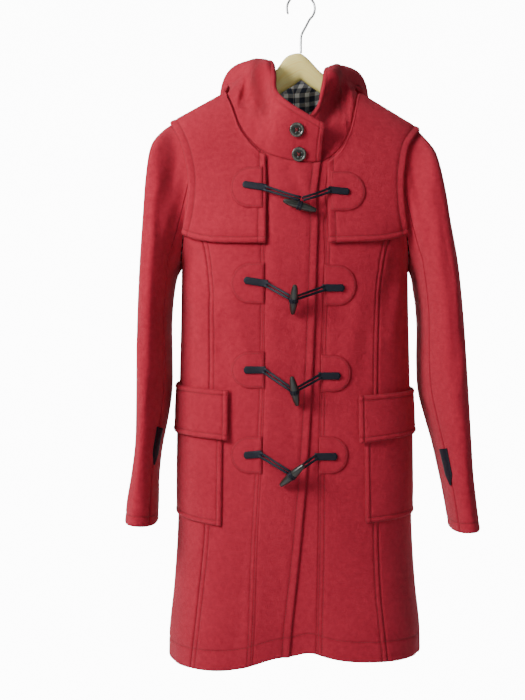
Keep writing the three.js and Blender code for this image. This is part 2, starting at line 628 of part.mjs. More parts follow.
function hoodHalf(side) {
  const corners = necklineCorners(side);
  const paths = HOOD.map((p) => walker(p.path));
  // where each profile stands among the corners
  const mirrorX = (x) => (side < 0 ? x : 2 * COAT_X - x);
  const place = corners.map(({ turn, row }) => {
    const x = mirrorX(xOf(turn, row));
    const onBack = row > 2;
    const k = HOOD.findIndex((p, i) => {
      const next = HOOD[i + 1];
      if (!next) return false;
      return onBack ? next.back && x <= next.seam : !next.back && x >= next.seam;
    });
    if (k < 0) return onBack ? HOOD.length - 1 : 5;
    const [a, b] = [HOOD[k], HOOD[k + 1]];
    return k + clamp((x - a.seam) / (b.seam - a.seam), 0, 1);
  });
  const alongPaths = (at, v) => {
    const k = Math.min(Math.floor(at), HOOD.length - 2);
    const t = at - k;
    const near = [k - 1, k, k + 1, k + 2].map((i) => paths[clamp(i, 0, HOOD.length - 1)](v));
    const p = new THREE.Vector3();
    for (const axis of ['x', 'y', 'z']) {
      const [p0, p1, p2, p3] = near.map((q) => q[axis]);
      const [m1, m2] = [(p2 - p0) / 2, (p3 - p1) / 2];
      p[axis] = p1 + m1 * t + (3 * (p2 - p1) - 2 * m1 - m2) * t * t + (2 * (p1 - p2) + m1 + m2) * t * t * t;
    }
    if (side > 0) {
      const under = 1 - smooth((at - 1.2) / 2.4); // at the throat it passes behind the right half
      const front = 1 - smooth((at - 5) / 3);
      p.x = mirrorX(p.x) + HOOD_LEFT.rimOut * v * v * front * (1 - under);
      p.y += HOOD_LEFT.behind * smooth(v * 8) * under;
      p.z -= (HOOD_LEFT.rimDown * front + HOOD_LEFT.throatDown * under) * v;
    }
    return p;
  };
  const share = (s, list) => {
    const i = clamp(Math.floor(s), 0, list.length - 2);
    return [i, s - i];
  };
  // s counts the corners; the seam's row is the panels' own edge, a hair beyond it
  const lap = ({ turn, row }) =>
    side < 0 && row < 2 ? lapLift(xOf(turn, row), heightAt(xOf(turn, row), row)) : 0;
  const edge = corners.map((c) => onCoat(c.turn, c.row, lap(c)));
  const feet = corners.map((c, i) => {
    const along = edge[Math.min(i + 1, edge.length - 1)].clone().sub(edge[Math.max(i - 1, 0)]);
    const up = along.cross(outward(form, c.turn, c.row)).normalize();
    return edge[i].clone().addScaledVector(up, -side * HOOD_GAP);
  });
  return (s, v) => {
    const [i, t] = share(s, corners);
    const at = lerp(place[i], place[i + 1], t);
    const seam = feet[i].clone().lerp(feet[i + 1], t);
    const p = alongPaths(at, v).addScaledVector(seam.sub(alongPaths(at, 0)), 1 - smooth(v * 2.2));
    p.x += side * SEAM_GAP * smooth(at - 7);
    return p;
  };
}
const HOOD_GAP = 1.4; // above the panels' edges
for (const side of [-1, 1]) {
  const half = hoodHalf(side);
  const count = necklineCorners(side).length;
  const point = (s, v, face) => {
    const p = half(s * (count - 1), v);
    if (face) return p;
    const at = (ds, dv) => half(clamp(s * (count - 1) + ds, 0, count - 1), clamp(v + dv, 0, 1));
    const across = at(0.2, 0).sub(at(-0.2, 0));
    const up = at(0, 0.03).sub(at(0, -0.03));
    const normal = across.cross(up);
    if (s === 1) normal.x = 0; // the two halves meet in one plane behind
    return p.addScaledVector(normal.normalize(), -side * CLOTH);
  };
  piece(`hood_${NAMES[side]}`, wall(point, steps(count - 1), HOOD_ROWS), RED);
}

// Patch pockets that wrap round the sides, with a flap over each.
// inner and outer are bearings; heights are given at the inner edge and at the outer one.
const POCKETS = [
  { side: -1, inner: -37.5, outer: -98, lowInner: 213, lowOuter: 229, topInner: 398, topOuter: 408 },
  { side: 1, inner: 34.5, outer: 98, lowInner: 218, lowOuter: 229, topInner: 390, topOuter: 400 },
];
const FLAPS = [
  { side: -1, inner: -34, outer: -99, lowInner: 341, lowOuter: 355, topInner: 416, topOuter: 428 },
  { side: 1, inner: 31, outer: 99, lowInner: 337, lowOuter: 354, topInner: 408, topOuter: 420 },
];
const FLAP_OPEN = 2.2; // the flap's lower edge stands off the pocket

function wrapped(table, lift) {
  return (s, t, face) => {
    const turn = lerp(table.inner, table.outer, s);
    const low = lerp(table.lowInner, table.lowOuter, s);
    const z = lerp(low, lerp(table.topInner, table.topOuter, s), t);
    return onCoat(turn, z / CHEST_Z, lift(t) + (face ? CLOTH : 0));
  };
}
for (const table of POCKETS) {
  const point = wrapped(table, () => LAYER_GAP);
  piece(`pocket_${NAMES[table.side]}`, wall(point, steps(9), steps(5)), RED);
}
for (const table of FLAPS) {
  const point = wrapped(table, (t) => LAP + LAYER_GAP + FLAP_OPEN * (1 - t) ** 2);
  piece(`flap_${NAMES[table.side]}`, wall(point, steps(9), steps(3)), RED);
}

// How far out the surface lies on the front at x, z, whatever layer is on top there
function frontTop(side, x, z) {
  const yoke = z > YOKE_FRONT[0].lowInner ? LAP + YOKE_EASE + yokeFlare(rowAt(x, z)) : 0;
  return yoke + (side < 0 ? lapLift(x, z) : 0);
}

// Stitched horseshoe patches that hold the toggles' straps: seamX is the straight side
const PATCH = { thick: 1.4, clear: 1, straight: 0.42 };
const PATCHES = [
  { name: 'right_1', side: -1, seamX: -45, endX: -95, z: 722, half: 32 },
  { name: 'right_2', side: -1, seamX: -43, endX: -94, z: 577, half: 31 },
  { name: 'right_3', side: -1, seamX: -43, endX: -94, z: 447, half: 28 },
  { name: 'right_4', side: -1, seamX: -47, endX: -94, z: 320, half: 28 },
  { name: 'left_1', side: 1, seamX: 56, endX: 109, z: 716, half: 31 },
  { name: 'left_2', side: 1, seamX: 46, endX: 95, z: 574, half: 31 },
  { name: 'left_3', side: 1, seamX: 41, endX: 87, z: 442, half: 28 },
  { name: 'left_4', side: 1, seamX: 38, endX: 82, z: 320, half: 28 },
];
const PATCH_COLUMNS = [0, 0.4, 0.62, 0.78, 0.9, 0.96, 0.99];
for (const p of PATCHES) {
  const point = (s, t, face) => {
    const round = Math.max(0, (s - PATCH.straight) / (1 - PATCH.straight));
    const half = p.half * Math.sqrt(1 - round * round);
    const x = lerp(p.seamX, p.endX, s);
    const z = p.z + half * (2 * t - 1);
    return frontPoint(x, z, frontTop(p.side, x, z) + PATCH.clear + (face ? PATCH.thick : 0));
  };
  piece(`patch_${p.name}`, wall(point, PATCH_COLUMNS, steps(2)), RED);
}

// Horn toggles and their leather straps. A strap lies flat on its patch from anchor to bend and
// then runs free to the toggle; off is how far a point stands off the coat's bare form.
const STRAP = { width: 11, thick: 2.2, tip: 8, clear: 0.8 };
const SEAT_GAP = 0.2; // between a strap's end and the toggle that it holds
const TOGGLE = { length: 52, radius: 6.2, tipRadius: 2.4 };
const FASTENINGS = [
  {
    row: 1,
    right: [[-76, 726], [-40, 720], [10, 700]],
    left: [[84, 714], [52, 717], [14, 699]],
    toggle: { from: [-15.6, 698], fromOff: 17, to: [34, 683], toOff: 15 },
  },
  {
    row: 2,
    right: [[-74, 582], [-38, 576], [3, 550]],
    left: [[76, 570], [43, 570], [0, 553]],
    toggle: { from: [1, 571], fromOff: 36, to: [-1, 533], toOff: 9 },
  },
  {
    row: 3,
    right: [[-74, 447], [-41, 447], [1, 414]],
    left: [[70, 438], [37, 438], [1, 416]],
    toggle: { from: [-3, 434], fromOff: 34, to: [5, 396], toOff: 9 },
  },
  {
    row: 4,
    right: [[-74, 319.5], [-47, 322], [-4, 294]],
    left: [[65, 318], [31, 318], [0, 296]],
    toggle: { from: [12, 305], fromOff: 28, to: [-17, 278], toOff: 10 },
  },
];
const TOGGLE_RINGS = [0, 0.06, 0.2, 0.38, 0.5, 0.62, 0.8, 0.94, 1];
const TOGGLE_SIDES = 8;
const toggleRadius = (t) => lerp(TOGGLE.tipRadius, TOGGLE.radius, Math.abs(Math.sin(Math.PI * t)) ** 0.7);

function ribbon(points, widths, thick) {
  const n = points.length;
  const positions = [];
  points.forEach(({ at, normal }, i) => {
    const ahead = points[Math.min(i + 1, n - 1)].at.clone().sub(points[Math.max(i - 1, 0)].at);
    const sideways = ahead.clone().cross(normal).normalize().multiplyScalar(widths[i] / 2);
    const up = sideways.clone().cross(ahead).normalize().multiplyScalar(thick);
    for (const [w, u] of [[-1, 0], [1, 0], [1, 1], [-1, 1]]) {
      positions.push(...at.clone().addScaledVector(sideways, w).addScaledVector(up, u).toArray());
    }
  });
  const triangles = [0, 1, 2, 0, 2, 3];
  const end = 4 * (n - 1);
  triangles.push(end, end + 2, end + 1, end, end + 3, end + 2);
  for (let i = 0; i < n - 1; i += 1) {
    for (let k = 0; k < 4; k += 1) {
      const [a, b] = [4 * i + k, 4 * i + ((k + 1) % 4)];
      triangles.push(a, a + 4, b, b, a + 4, b + 4);
    }
  }
  return solid(positions, triangles);
}

// A round bar through rings that are given by place, radius and the plane's two directions
function lathed(rings, sides) {
  const positions = [];
  for (const { at, radius, u, v } of rings) {
    for (let k = 0; k < sides; k += 1) {
      const a = (2 * Math.PI * k) / sides;
      const p = at.clone().addScaledVector(u, radius * Math.cos(a)).addScaledVector(v, radius * Math.sin(a));
      positions.push(...p.toArray());
    }
  }
  const triangles = [];
  const last = sides * (rings.length - 1);
  for (let k = 1; k < sides - 1; k += 1) {
    triangles.push(0, k + 1, k, last, last + k, last + k + 1);
  }
  for (let i = 0; i < rings.length - 1; i += 1) {
    for (let k = 0; k < sides; k += 1) {
      const [a, b] = [sides * i + k, sides * i + ((k + 1) % sides)];
      triangles.push(a, b, b + sides, a, b + sides, a + sides);
    }
  }
  return solid(positions, triangles);
}

for (const { row, right, left, toggle } of FASTENINGS) {
  const ends = [
    frontPoint(...toggle.from, toggle.fromOff),
    frontPoint(...toggle.to, toggle.toOff),
  ];
  const axis = ends[1].clone().sub(ends[0]).normalize();
  const u = new THREE.Vector3(0, -1, 0).addScaledVector(axis, axis.y).normalize();
  const v = axis.clone().cross(u);
  const middle = ends[0].clone().lerp(ends[1], 0.5);
  const rings = TOGGLE_RINGS.map((t) => ({
    at: middle.clone().addScaledVector(axis, (t - 0.5) * TOGGLE.length),
    radius: toggleRadius(t),
    u,
    v,
  }));
  piece(`toggle_${row}`, lathed(rings, TOGGLE_SIDES), HORN);
  const bar = new THREE.Line3(
    middle.clone().addScaledVector(axis, -TOGGLE.length / 2),
    middle.clone().addScaledVector(axis, TOGGLE.length / 2),
  );
  const endOff = (toggle.fromOff + toggle.toOff - STRAP.thick) / 2;
  for (const [name, side, path] of [['right', -1, right], ['left', 1, left]]) {
    const [anchor, bend, aim] = path;
    const flat = (x, z) => frontTop(side, x, z) + PATCH.clear + PATCH.thick + STRAP.clear;
    const onPatch = (t) => {
      const [x, z] = [lerp(anchor[0], bend[0], t), lerp(anchor[1], bend[1], t)];
      return { at: frontPoint(x, z, flat(x, z)), normal: outward(form, turnAt(x, z), rowAt(x, z)) };
    };
    const free = (t) => {
      const [x, z] = [lerp(bend[0], aim[0], t), lerp(bend[1], aim[1], t)];
      const off = lerp(flat(...bend) + 0.8, endOff, smooth(t * 1.1));
      return { at: frontPoint(x, z, off), normal: outward(form, turnAt(x, z), rowAt(x, z)) };
    };
    const clearance = (t) => {
      const { at, normal } = free(t);
      const ahead = at.clone().sub(free(t - 0.05).at);
      const sideways = ahead.cross(normal).normalize().multiplyScalar(STRAP.tip / 2);
      const corners = [-1, 1].flatMap((w) => [0, STRAP.thick].map((up) =>
        at.clone().addScaledVector(sideways, w).addScaledVector(normal, up)));
      return Math.min(...corners.map((c) => {
        const foot = bar.closestPointToPoint(c, true, new THREE.Vector3());
        return foot.distanceTo(c) - toggleRadius(foot.distanceTo(bar.start) / TOGGLE.length);
      }));
    };
    let end = 0.4;
    while (end < 1 && clearance(end) > SEAT_GAP) end += 0.004;
    const points = [onPatch(0), onPatch(0.5), onPatch(1), free(end * 0.35), free(end * 0.7), free(end)];
    const widths = [STRAP.width, STRAP.width, STRAP.width, STRAP.width - 1, STRAP.tip, STRAP.tip];
    piece(`strap_${name}_${row}`, ribbon(points, widths, STRAP.thick), NAVY);
  }
}

// Throat buttons, on the hood's right half
const BUTTON = { radius: 11, sides: 16 };
const BUTTON_OFF = 0.7;
const BUTTONS = [
  { name: 'upper', x: 8.4, z: 808 },
  { name: 'lower', x: 6.9, z: 774 },
];
const hoodRight = hoodHalf(-1);
function onHoodFront(x, z) {
  let best = { far: Infinity };
  for (let i = 0; i <= 60; i += 1) {
    for (let j = 0; j <= 60; j += 1) {
      const [s, v] = [i / 12, j / 60];
      const p = hoodRight(s, v);
      const far = Math.hypot(p.x - x, p.z - z);
      if (far < best.far) best = { far, s, v, p };
    }
  }
  const { s, v } = best;
  const across = hoodRight(s + 0.4, v).sub(hoodRight(Math.max(0, s - 0.4), v));
  const up = hoodRight(s, Math.min(1, v + 0.08)).sub(hoodRight(s, Math.max(0, v - 0.08)));
  return { at: best.p, normal: up.cross(across).normalize() };
}
for (const { name, x, z } of BUTTONS) {
  const { at, normal } = onHoodFront(x, z);
  const u = new THREE.Vector3(1, 0, 0).addScaledVector(normal, -normal.x).normalize();
  const v = normal.clone().cross(u);
  const profile = [[BUTTON_OFF, 0.82], [BUTTON_OFF + 1, 1], [BUTTON_OFF + 2.4, 1], [BUTTON_OFF + 3.4, 0.86]];
  const rings = profile.map(([off, share]) => ({
    at: at.clone().addScaledVector(normal, off),
    radius: BUTTON.radius * share,
    u,
    v,
  }));
  piece(`button_${name}`, lathed(rings, BUTTON.sides), HORN);
}

// Pointed leather tabs on the cuffs, on the inner front of each sleeve
const TAB = { thick: 1.6, around: 132, spread: 13 };
const TABS = [
  { side: -1, top: 0.69, low: 0.79 },
  { side: 1, top: 0.745, low: 0.85 },
];
for (const { side, top, low } of TABS) {
  const point = (s, t, face) => {
    const narrow = t > 0.7 ? 1 - 0.85 * ((t - 0.7) / 0.3) : 1;
    const around = TAB.around + TAB.spread * narrow * (2 * s - 1);
    return onSleeve(side, around, lerp(top, low, t), LAYER_GAP + (face ? TAB.thick : 0));
  };
  piece(`cuff_tab_${NAMES[side]}`, wall(point, steps(2), [0, 0.35, 0.7, 1]), NAVY);
}

// Wooden hanger: top and underside over x, and half its thickness
const HANGER = [
  { x: -160, top: 841, low: 820, half: 7 },
  { x: -148, top: 847.5, low: 820, half: 9 },
  { x: -125, top: 858.5, low: 830, half: 8.6 },
  { x: -102, top: 872.5, low: 839, half: 9 },
  { x: -60, top: 896, low: 856, half: 9 },
  { x: -27, top: 916, low: 874, half: 8 },
  { x: -9, top: 938, low: 886, half: 8 },
  { x: 3, top: 943, low: 893, half: 8 },
  { x: 14, top: 943, low: 901, half: 8 },
  { x: 26, top: 934, low: 893, half: 8 },
  { x: 44, top: 915, low: 881, half: 8 },
  { x: 66, top: 898, low: 865, half: 7 },
  { x: 102, top: 872, low: 841, half: 8.4 },
  { x: 130, top: 856, low: 826, half: 10 },
  { x: 166, top: 833.5, low: 806, half: 9 },
  { x: 180, top: 824.5, low: 804, half: 7 },
];
const HANGER_SIDES = 12;
{
  const positions = [];
  for (const { x, top, low, half } of HANGER) {
    for (let k = 0; k < HANGER_SIDES; k += 1) {
      const a = (2 * Math.PI * k) / HANGER_SIDES;
      const [c, s] = [Math.cos(a), Math.sin(a)];
      const y = half * Math.sign(c) * Math.abs(c) ** 0.8;
      positions.push(x, y, (top + low) / 2 + ((top - low) / 2) * Math.sign(s) * Math.abs(s) ** 0.8);
    }
  }
  const triangles = [];
  const last = HANGER_SIDES * (HANGER.length - 1);
  for (let k = 1; k < HANGER_SIDES - 1; k += 1) triangles.push(0, k + 1, k, last, last + k, last + k + 1);
  for (let i = 0; i < HANGER.length - 1; i += 1) {
    for (let k = 0; k < HANGER_SIDES; k += 1) {
      const [a, b] = [HANGER_SIDES * i + k, HANGER_SIDES * i + ((k + 1) % HANGER_SIDES)];
      triangles.push(a, b, b + HANGER_SIDES, a, b + HANGER_SIDES, a + HANGER_SIDES);
    }
  }
  piece('hanger', solid(positions, triangles), WOOD);
}

// Its steel hook: a shank and an arch whose inside bears on the rail
const HOOK = { wire: 1.9, inner: 20, sides: 8 };
{
  const middleZ = HOOK_TOP_Z - HOOK.inner;
  const arch = HOOK.inner + HOOK.wire;
  const path = [[HANGER_X, 943.8], [HANGER_X, 960], [HANGER_X + 1, 972], [HANGER_X + 8, 986]];
  for (let a = -50; a <= 205; a += 15) {
    path.push([HANGER_X + arch * Math.cos(rad(a)), middleZ + arch * Math.sin(rad(a))]);
  }
  const rings = path.map(([x, z], i) => {
    const [x0, z0] = path[Math.max(i - 1, 0)];
    const [x1, z1] = path[Math.min(i + 1, path.length - 1)];
    const ahead = new THREE.Vector3(x1 - x0, 0, z1 - z0).normalize();
    const u = new THREE.Vector3(0, 1, 0);
    return { at: new THREE.Vector3(x, 0, z), radius: HOOK.wire, u, v: ahead.cross(u) };
  });
  piece('hook', lathed(rings, HOOK.sides), STEEL);
}

coat.position.set(-HANGER_X, 0, -HOOK_TOP_Z);
export default coat;
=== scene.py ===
# %% [markdown]
# # A duffle coat on its hanger
# This lesson dresses a red wool duffle coat that hangs, buttoned, on a pale wooden hanger. The frame
# below holds its plain solids, one for each piece that a tailor would cut. Each cloth piece is built
# again here with rounded edges, sewn seams and soft folds, in the same place, and takes its solid's part.

# %% Load the frame
import json
import math

import bpy
import numpy as np
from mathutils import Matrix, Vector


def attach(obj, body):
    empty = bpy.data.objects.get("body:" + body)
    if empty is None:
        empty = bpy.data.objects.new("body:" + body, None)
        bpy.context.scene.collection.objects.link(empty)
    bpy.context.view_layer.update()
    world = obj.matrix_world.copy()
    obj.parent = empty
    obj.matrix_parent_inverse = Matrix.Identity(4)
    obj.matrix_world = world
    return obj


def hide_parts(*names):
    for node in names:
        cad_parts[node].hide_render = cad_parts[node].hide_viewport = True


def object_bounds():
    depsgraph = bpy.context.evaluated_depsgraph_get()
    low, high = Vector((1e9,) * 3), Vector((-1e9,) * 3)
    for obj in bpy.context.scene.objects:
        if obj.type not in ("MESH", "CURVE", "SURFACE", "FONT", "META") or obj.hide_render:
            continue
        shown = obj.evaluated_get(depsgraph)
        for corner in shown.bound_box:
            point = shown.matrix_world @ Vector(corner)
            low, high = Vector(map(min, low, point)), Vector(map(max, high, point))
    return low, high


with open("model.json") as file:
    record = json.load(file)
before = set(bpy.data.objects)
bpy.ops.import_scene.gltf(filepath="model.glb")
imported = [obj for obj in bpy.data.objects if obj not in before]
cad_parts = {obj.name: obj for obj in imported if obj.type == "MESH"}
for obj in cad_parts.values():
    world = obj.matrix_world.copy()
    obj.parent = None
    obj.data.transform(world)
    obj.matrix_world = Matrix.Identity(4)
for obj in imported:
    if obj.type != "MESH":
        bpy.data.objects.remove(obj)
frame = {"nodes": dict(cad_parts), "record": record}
cad_box = [list(map(float, corner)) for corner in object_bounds()]
print("solids:", len(frame["nodes"]), "box:", np.round(cad_box, 3).tolist())

# %% [markdown]
# ## Camera, floor and light
# The photograph is a front view from about 1.7 m away at waist height, level, in very soft light that
# is a little stronger from the left. A long lens with a level camera keeps the coat's sides upright.
# The floor and the wall behind are one pale sheet with a bend, and three large lamps leave no hard
# shadow. The sheet glows behind the coat, mostly for the camera alone (Light Path), so that it reads
# white and hardly lights the coat.

# %% Camera
MM = 0.001
CAMERA_AT = (-0.0604, -1.730, -0.557)
CAMERA_LENS = 56.57  # mm, on a sensor 36 mm on its long side


def add_camera():
    data = bpy.data.cameras.new("camera")
    data.sensor_fit = "VERTICAL"
    data.sensor_height = 36
    data.lens = CAMERA_LENS
    camera = bpy.data.objects.new("camera", data)
    camera.location = CAMERA_AT
    camera.rotation_euler = (math.radians(90), 0, 0)
    bpy.context.collection.objects.link(camera)
    bpy.context.scene.camera = camera
    return camera


camera = add_camera()
print("camera at", CAMERA_AT, "lens", CAMERA_LENS)

# %% Floor and backdrop
FLOOR_DROP = 0.32  # the coat hangs this far above the floor
FLOOR_Z = cad_box[0][2] - FLOOR_DROP
WALL_Y = 4.2
GLOW = (1.2, 12.0)  # as a light, and as the camera sees it
GLOW_Y = (0.3, 0.75)  # the sheet begins to glow, and glows in full


def add_backdrop():
    bend = [(-4, 0), (3.1, 0), (3.5, 0.04), (3.85, 0.18), (4.1, 0.45), (WALL_Y, 0.8), (WALL_Y, 3.8)]
    verts, faces = [], []
    for y, z in bend:
        verts += [(-4, y, FLOOR_Z + z), (4, y, FLOOR_Z + z)]
    for i in range(len(bend) - 1):
        faces.append((2 * i, 2 * i + 1, 2 * i + 3, 2 * i + 2))
    mesh = bpy.data.meshes.new("backdrop")
    mesh.from_pydata(verts, [], faces)
    mesh.shade_smooth()
    backdrop = bpy.data.objects.new("backdrop", mesh)
    bpy.context.collection.objects.link(backdrop)
    paint = bpy.data.materials.new("backdrop")
    paint.use_nodes = True
    shader = paint.node_tree.nodes["Principled BSDF"]
    shader.inputs["Base Color"].default_value = (0.9, 0.9, 0.9, 1)
    shader.inputs["Roughness"].default_value = 0.9
    shader.inputs["Emission Color"].default_value = (1, 1, 1, 1)
    place = paint.node_tree.nodes.new("ShaderNodeTexCoord")
    parts = paint.node_tree.nodes.new("ShaderNodeSeparateXYZ")
    glow = paint.node_tree.nodes.new("ShaderNodeMapRange")
    glow.inputs["From Min"].default_value, glow.inputs["From Max"].default_value = GLOW_Y
    paint.node_tree.links.new(place.outputs["Object"], parts.inputs[0])
    paint.node_tree.links.new(parts.outputs["Y"], glow.inputs["Value"])
    ray = paint.node_tree.nodes.new("ShaderNodeLightPath")
    seen = paint.node_tree.nodes.new("ShaderNodeMapRange")
    seen.inputs["To Min"].default_value, seen.inputs["To Max"].default_value = GLOW
    paint.node_tree.links.new(ray.outputs["Is Camera Ray"], seen.inputs["Value"])
    both = paint.node_tree.nodes.new("ShaderNodeMath")
    both.operation = "MULTIPLY"
    paint.node_tree.links.new(glow.outputs["Result"], both.inputs[0])
    paint.node_tree.links.new(seen.outputs["Result"], both.inputs[1])
    paint.node_tree.links.new(both.outputs[0], shader.inputs["Emission Strength"])
    mesh.materials.append(paint)
    return backdrop


backdrop = add_backdrop()
print("floor at", round(FLOOR_Z, 3))

# %% Lamps
LAMPS = {
    "key": {"at": (-1.4, -1.05, 0.3), "size": 0.8, "power": 50},
    "fill": {"at": (1.2, -2.8, 0.2), "size": 2.0, "power": 9},
    "top": {"at": (-0.5, -0.6, 1.1), "size": 0.9, "power": 5},
}


def aim(thing, target):
    direction = np.array(target) - np.array(thing.location)
    length = np.linalg.norm(direction)
    thing.rotation_euler = (
        math.acos(-direction[2] / length),
        0,
        math.atan2(direction[1], direction[0]) - math.radians(90),
    )


def add_lamps():
    for name, lamp in LAMPS.items():
        data = bpy.data.lights.new(name, "AREA")
        data.size = lamp["size"]
        data.energy = lamp["power"]
        light = bpy.data.objects.new(name, data)
        light.location = lamp["at"]
        aim(light, (0, 0, -0.5))
        bpy.context.collection.objects.link(light)
    world = bpy.data.worlds.new("studio")
    world.use_nodes = True
    world.node_tree.nodes["Background"].inputs["Color"].default_value = (1, 1, 1, 1)
    world.node_tree.nodes["Background"].inputs["Strength"].default_value = 0.08
    bpy.context.scene.world = world


add_lamps()
print("lamps:", list(LAMPS))

# %% [markdown]
# ## The coat's form
# A coat on a hanger is a squarish tube that closes over the shoulders like a roof. Every cloth piece
# lies on this one form, so they meet at the seams. A place on it is a bearing round the body, turn, and
# a row that runs from the hem, 0, to the armpits, 1, and on to the shoulder line, 2, and down the back.
# The sizes here are millimetres above the hem, as a tailor would measure, and they are moved to the
# frame, whose origin is the hook, only when a mesh is made.

# %% Driving sizes
ORIGIN = np.array([14.0, 0.0, 1034.0])  # the hook's bearing point
CLOTH = 2.6
CHEST_Z = 600
COAT_X = 4
SHOULDER = {"neck_half": 102, "neck_z": 880, "slope_right": 0.555, "slope_left": 0.61, "crown": 0.28}
ROOF = {"rise": 1.667, "spread": 1.036, "half_width": 300, "height": 230}
SIDE_POWER = 2.7
RIDGE_ROW = 2 - 0.0035

BODY = {  # outer face: half width and depths at heights above the hem
    "z": [-20, 0, 45, 110, 200, 320, 430, 520, 600, 700, 960],
    "half_width": [195, 197, 196, 189, 183, 181, 180, 178, 177, 177, 177],
    "front": [104, 104, 102, 99, 95, 89, 83, 81, 82, 82, 82],
    "back": [100, 100, 99, 97, 94, 89, 82, 79, 80, 80, 80],
}
FLUTES = [  # bearing, spread, depth at the hem, reach: soft waves that open towards the hem
    (-4, 18, -14, 420),
    (-40, 16, 7, 380),
    (44, 17, 7, 360),
    (78, 9, -5, 300),
    (-76, 10, -4, 330),
    (118, 13, 8, 420),
    (146, 10, -10, 470),
    (181, 14, 9, 500),
    (214, 10, -9, 440),
    (242, 13, 8, 400),
]
print("chest at", CHEST_Z, "mm, shoulder neck point at", SHOULDER["neck_z"], "mm")

# %% Lines drawn on the coat, x over z
LAP_EDGE = {"z": [-20, 24, 132, 207, 312, 477, 650, 747, 900], "x": [-6, -4, 6, 13, 22, 31, 37, 42, 46]}
UNDERLAP = 58
PLACKET_RIGHT = {"z": [-20, 72, 207, 320, 440, 722, 800], "x": [-63, -58, -53, -47, -43, -44, -45]}
PLACKET_LEFT = {"z": [-20, 40, 207, 320, 442, 574, 716, 800], "x": [33, 34, 37, 38, 41, 46, 56, 60]}
PRINCESS = {
    -1: {
        "z": [-20, 48, 115, 206, 424, 522, 587, 641, 700],
        "x": [-155, -148, -141, -133, -127, -127, -129, -137, -159],
    },
    1: {
        "z": [-20, 48, 115, 206, 424, 522, 587, 641, 700],
        "x": [140, 134, 129, 127, 128, 130, 134, 145, 169],
    },
}
ARMHOLE = {
    -1: {
        "z": [597, 630, 659, 700, 735, 760, 796, 830],
        "x": [-176, -171, -167, -161, -160, -163, -173, -190],
    },
    1: {
        "z": [597, 630, 659, 700, 735, 760, 791, 817],
        "x": [183, 179, 174, 170, 170, 173, 180, 198],
    },
}
NECK_FRONT = {
    "x": [-102, -92, -81, -55, -30, 0, 40, 72, 88, 95, 102],
    "z": [879, 856, 824, 789, 773, 765, 763, 786, 820, 851, 879],
}
NECK_BACK_Z = 857
SIDES = {-1: "right", 1: "left"}
print("lines: lap edge, plackets, princess seams, armholes, neck")


# %% Reading tables and blending
def smooth(t):
    c = np.clip(t, 0, 1)
    return c * c * (3 - 2 * c)


def lerp(a, b, t):
    return a + (b - a) * t


def hermite(start, leave, end, arrive, t):
    """The smooth curve from start to end that leaves and arrives at the given slopes."""
    return (
        (2 * t**3 - 3 * t**2 + 1) * start
        + (t**3 - 2 * t**2 + t) * leave
        + (3 * t**2 - 2 * t**3) * end
        + (t**3 - t**2) * arrive
    )


def read(table, column, at, key="z"):
    """A column of a table, along a smooth curve through its rows."""
    keys = np.asarray(table[key], float)
    values = np.asarray(table[column], float)
    at = np.clip(at, keys[0], keys[-1])
    i = np.clip(np.searchsorted(keys, at, side="left") - 1, 0, len(keys) - 2)
    before = np.maximum(i - 1, 0)
    after = np.minimum(i + 2, len(keys) - 1)
    span = keys[i + 1] - keys[i]
    t = (at - keys[i]) / span
    m1 = (values[i + 1] - values[before]) / (keys[i + 1] - keys[before]) * span
    m2 = (values[after] - values[i]) / (keys[after] - keys[i]) * span
    return hermite(values[i], m1, values[i + 1], m2, t)


print("half width at the chest:", float(read(BODY, "half_width", 600)))


# %% The bare form
def ridge_z(x):
    out = np.abs(x) - SHOULDER["neck_half"]
    slope = np.where(x < 0, SHOULDER["slope_right"], SHOULDER["slope_left"])
    return SHOULDER["neck_z"] - np.where(out < 0, SHOULDER["crown"], slope) * out


def section_half_width(z):
    """Above the chest the section widens, so that the roof's rows run out over the shoulders."""
    return lerp(read(BODY, "half_width", z), ROOF["half_width"], smooth((z - CHEST_Z) / ROOF["height"]))


def bare_form(turn, row):
    turn, row = np.broadcast_arrays(np.asarray(turn, float), np.asarray(row, float))
    over = np.abs(turn) > 90
    a = np.where(over, np.sign(turn) * 180 - turn, turn)
    r = np.where(over, 4 - row, row)
    back = r > 2
    r = np.where(back, 4 - r, r)
    side = np.sin(np.radians(a))
    z = r * CHEST_Z
    x = COAT_X + section_half_width(z) * side
    lean = np.radians(90 * (2 - np.clip(r, 1, 2)))
    above = r > 1
    for _ in range(8):  # the shoulder line's height depends on x, and x on the height
        z = np.where(above, CHEST_Z + (ridge_z(x) - CHEST_Z) * np.cos(lean) ** ROOF["rise"], z)
        x = COAT_X + section_half_width(z) * side
    roof = np.where(above, np.sin(lean) ** ROOF["spread"], 1)
    round_side = np.maximum(0, 1 - np.abs(side) ** SIDE_POWER) ** (1 / SIDE_POWER)
    depth = np.where(back, read(BODY, "back", z), read(BODY, "front", z)) * roof * round_side
    return np.stack([x, np.where(back, depth, -depth), z], -1)


def unit(v):
    return v / np.maximum(np.linalg.norm(v, axis=-1, keepdims=True), 1e-9)


def outward(shape, turn, row, step=0.4, climb=0.004):
    across = shape(turn + step, row) - shape(turn - step, row)
    up = shape(turn, row + climb) - shape(turn, row - climb)
    return unit(np.cross(across, up))


print("front of the chest:", bare_form(0, 1).round(1).tolist())


# %% The form with its flutes, its creases and its hem
def flute(turn, z):
    total = np.zeros(np.broadcast(turn, z).shape)
    for bearing, spread, depth, reach in FLUTES:
        d = turn - bearing
        d = d - 360 * np.round(d / 360)
        rise = np.clip(1 - z / reach, 0, 1.1)
        total = total + depth * np.exp(-((d / spread) ** 2)) * rise * rise
    return total


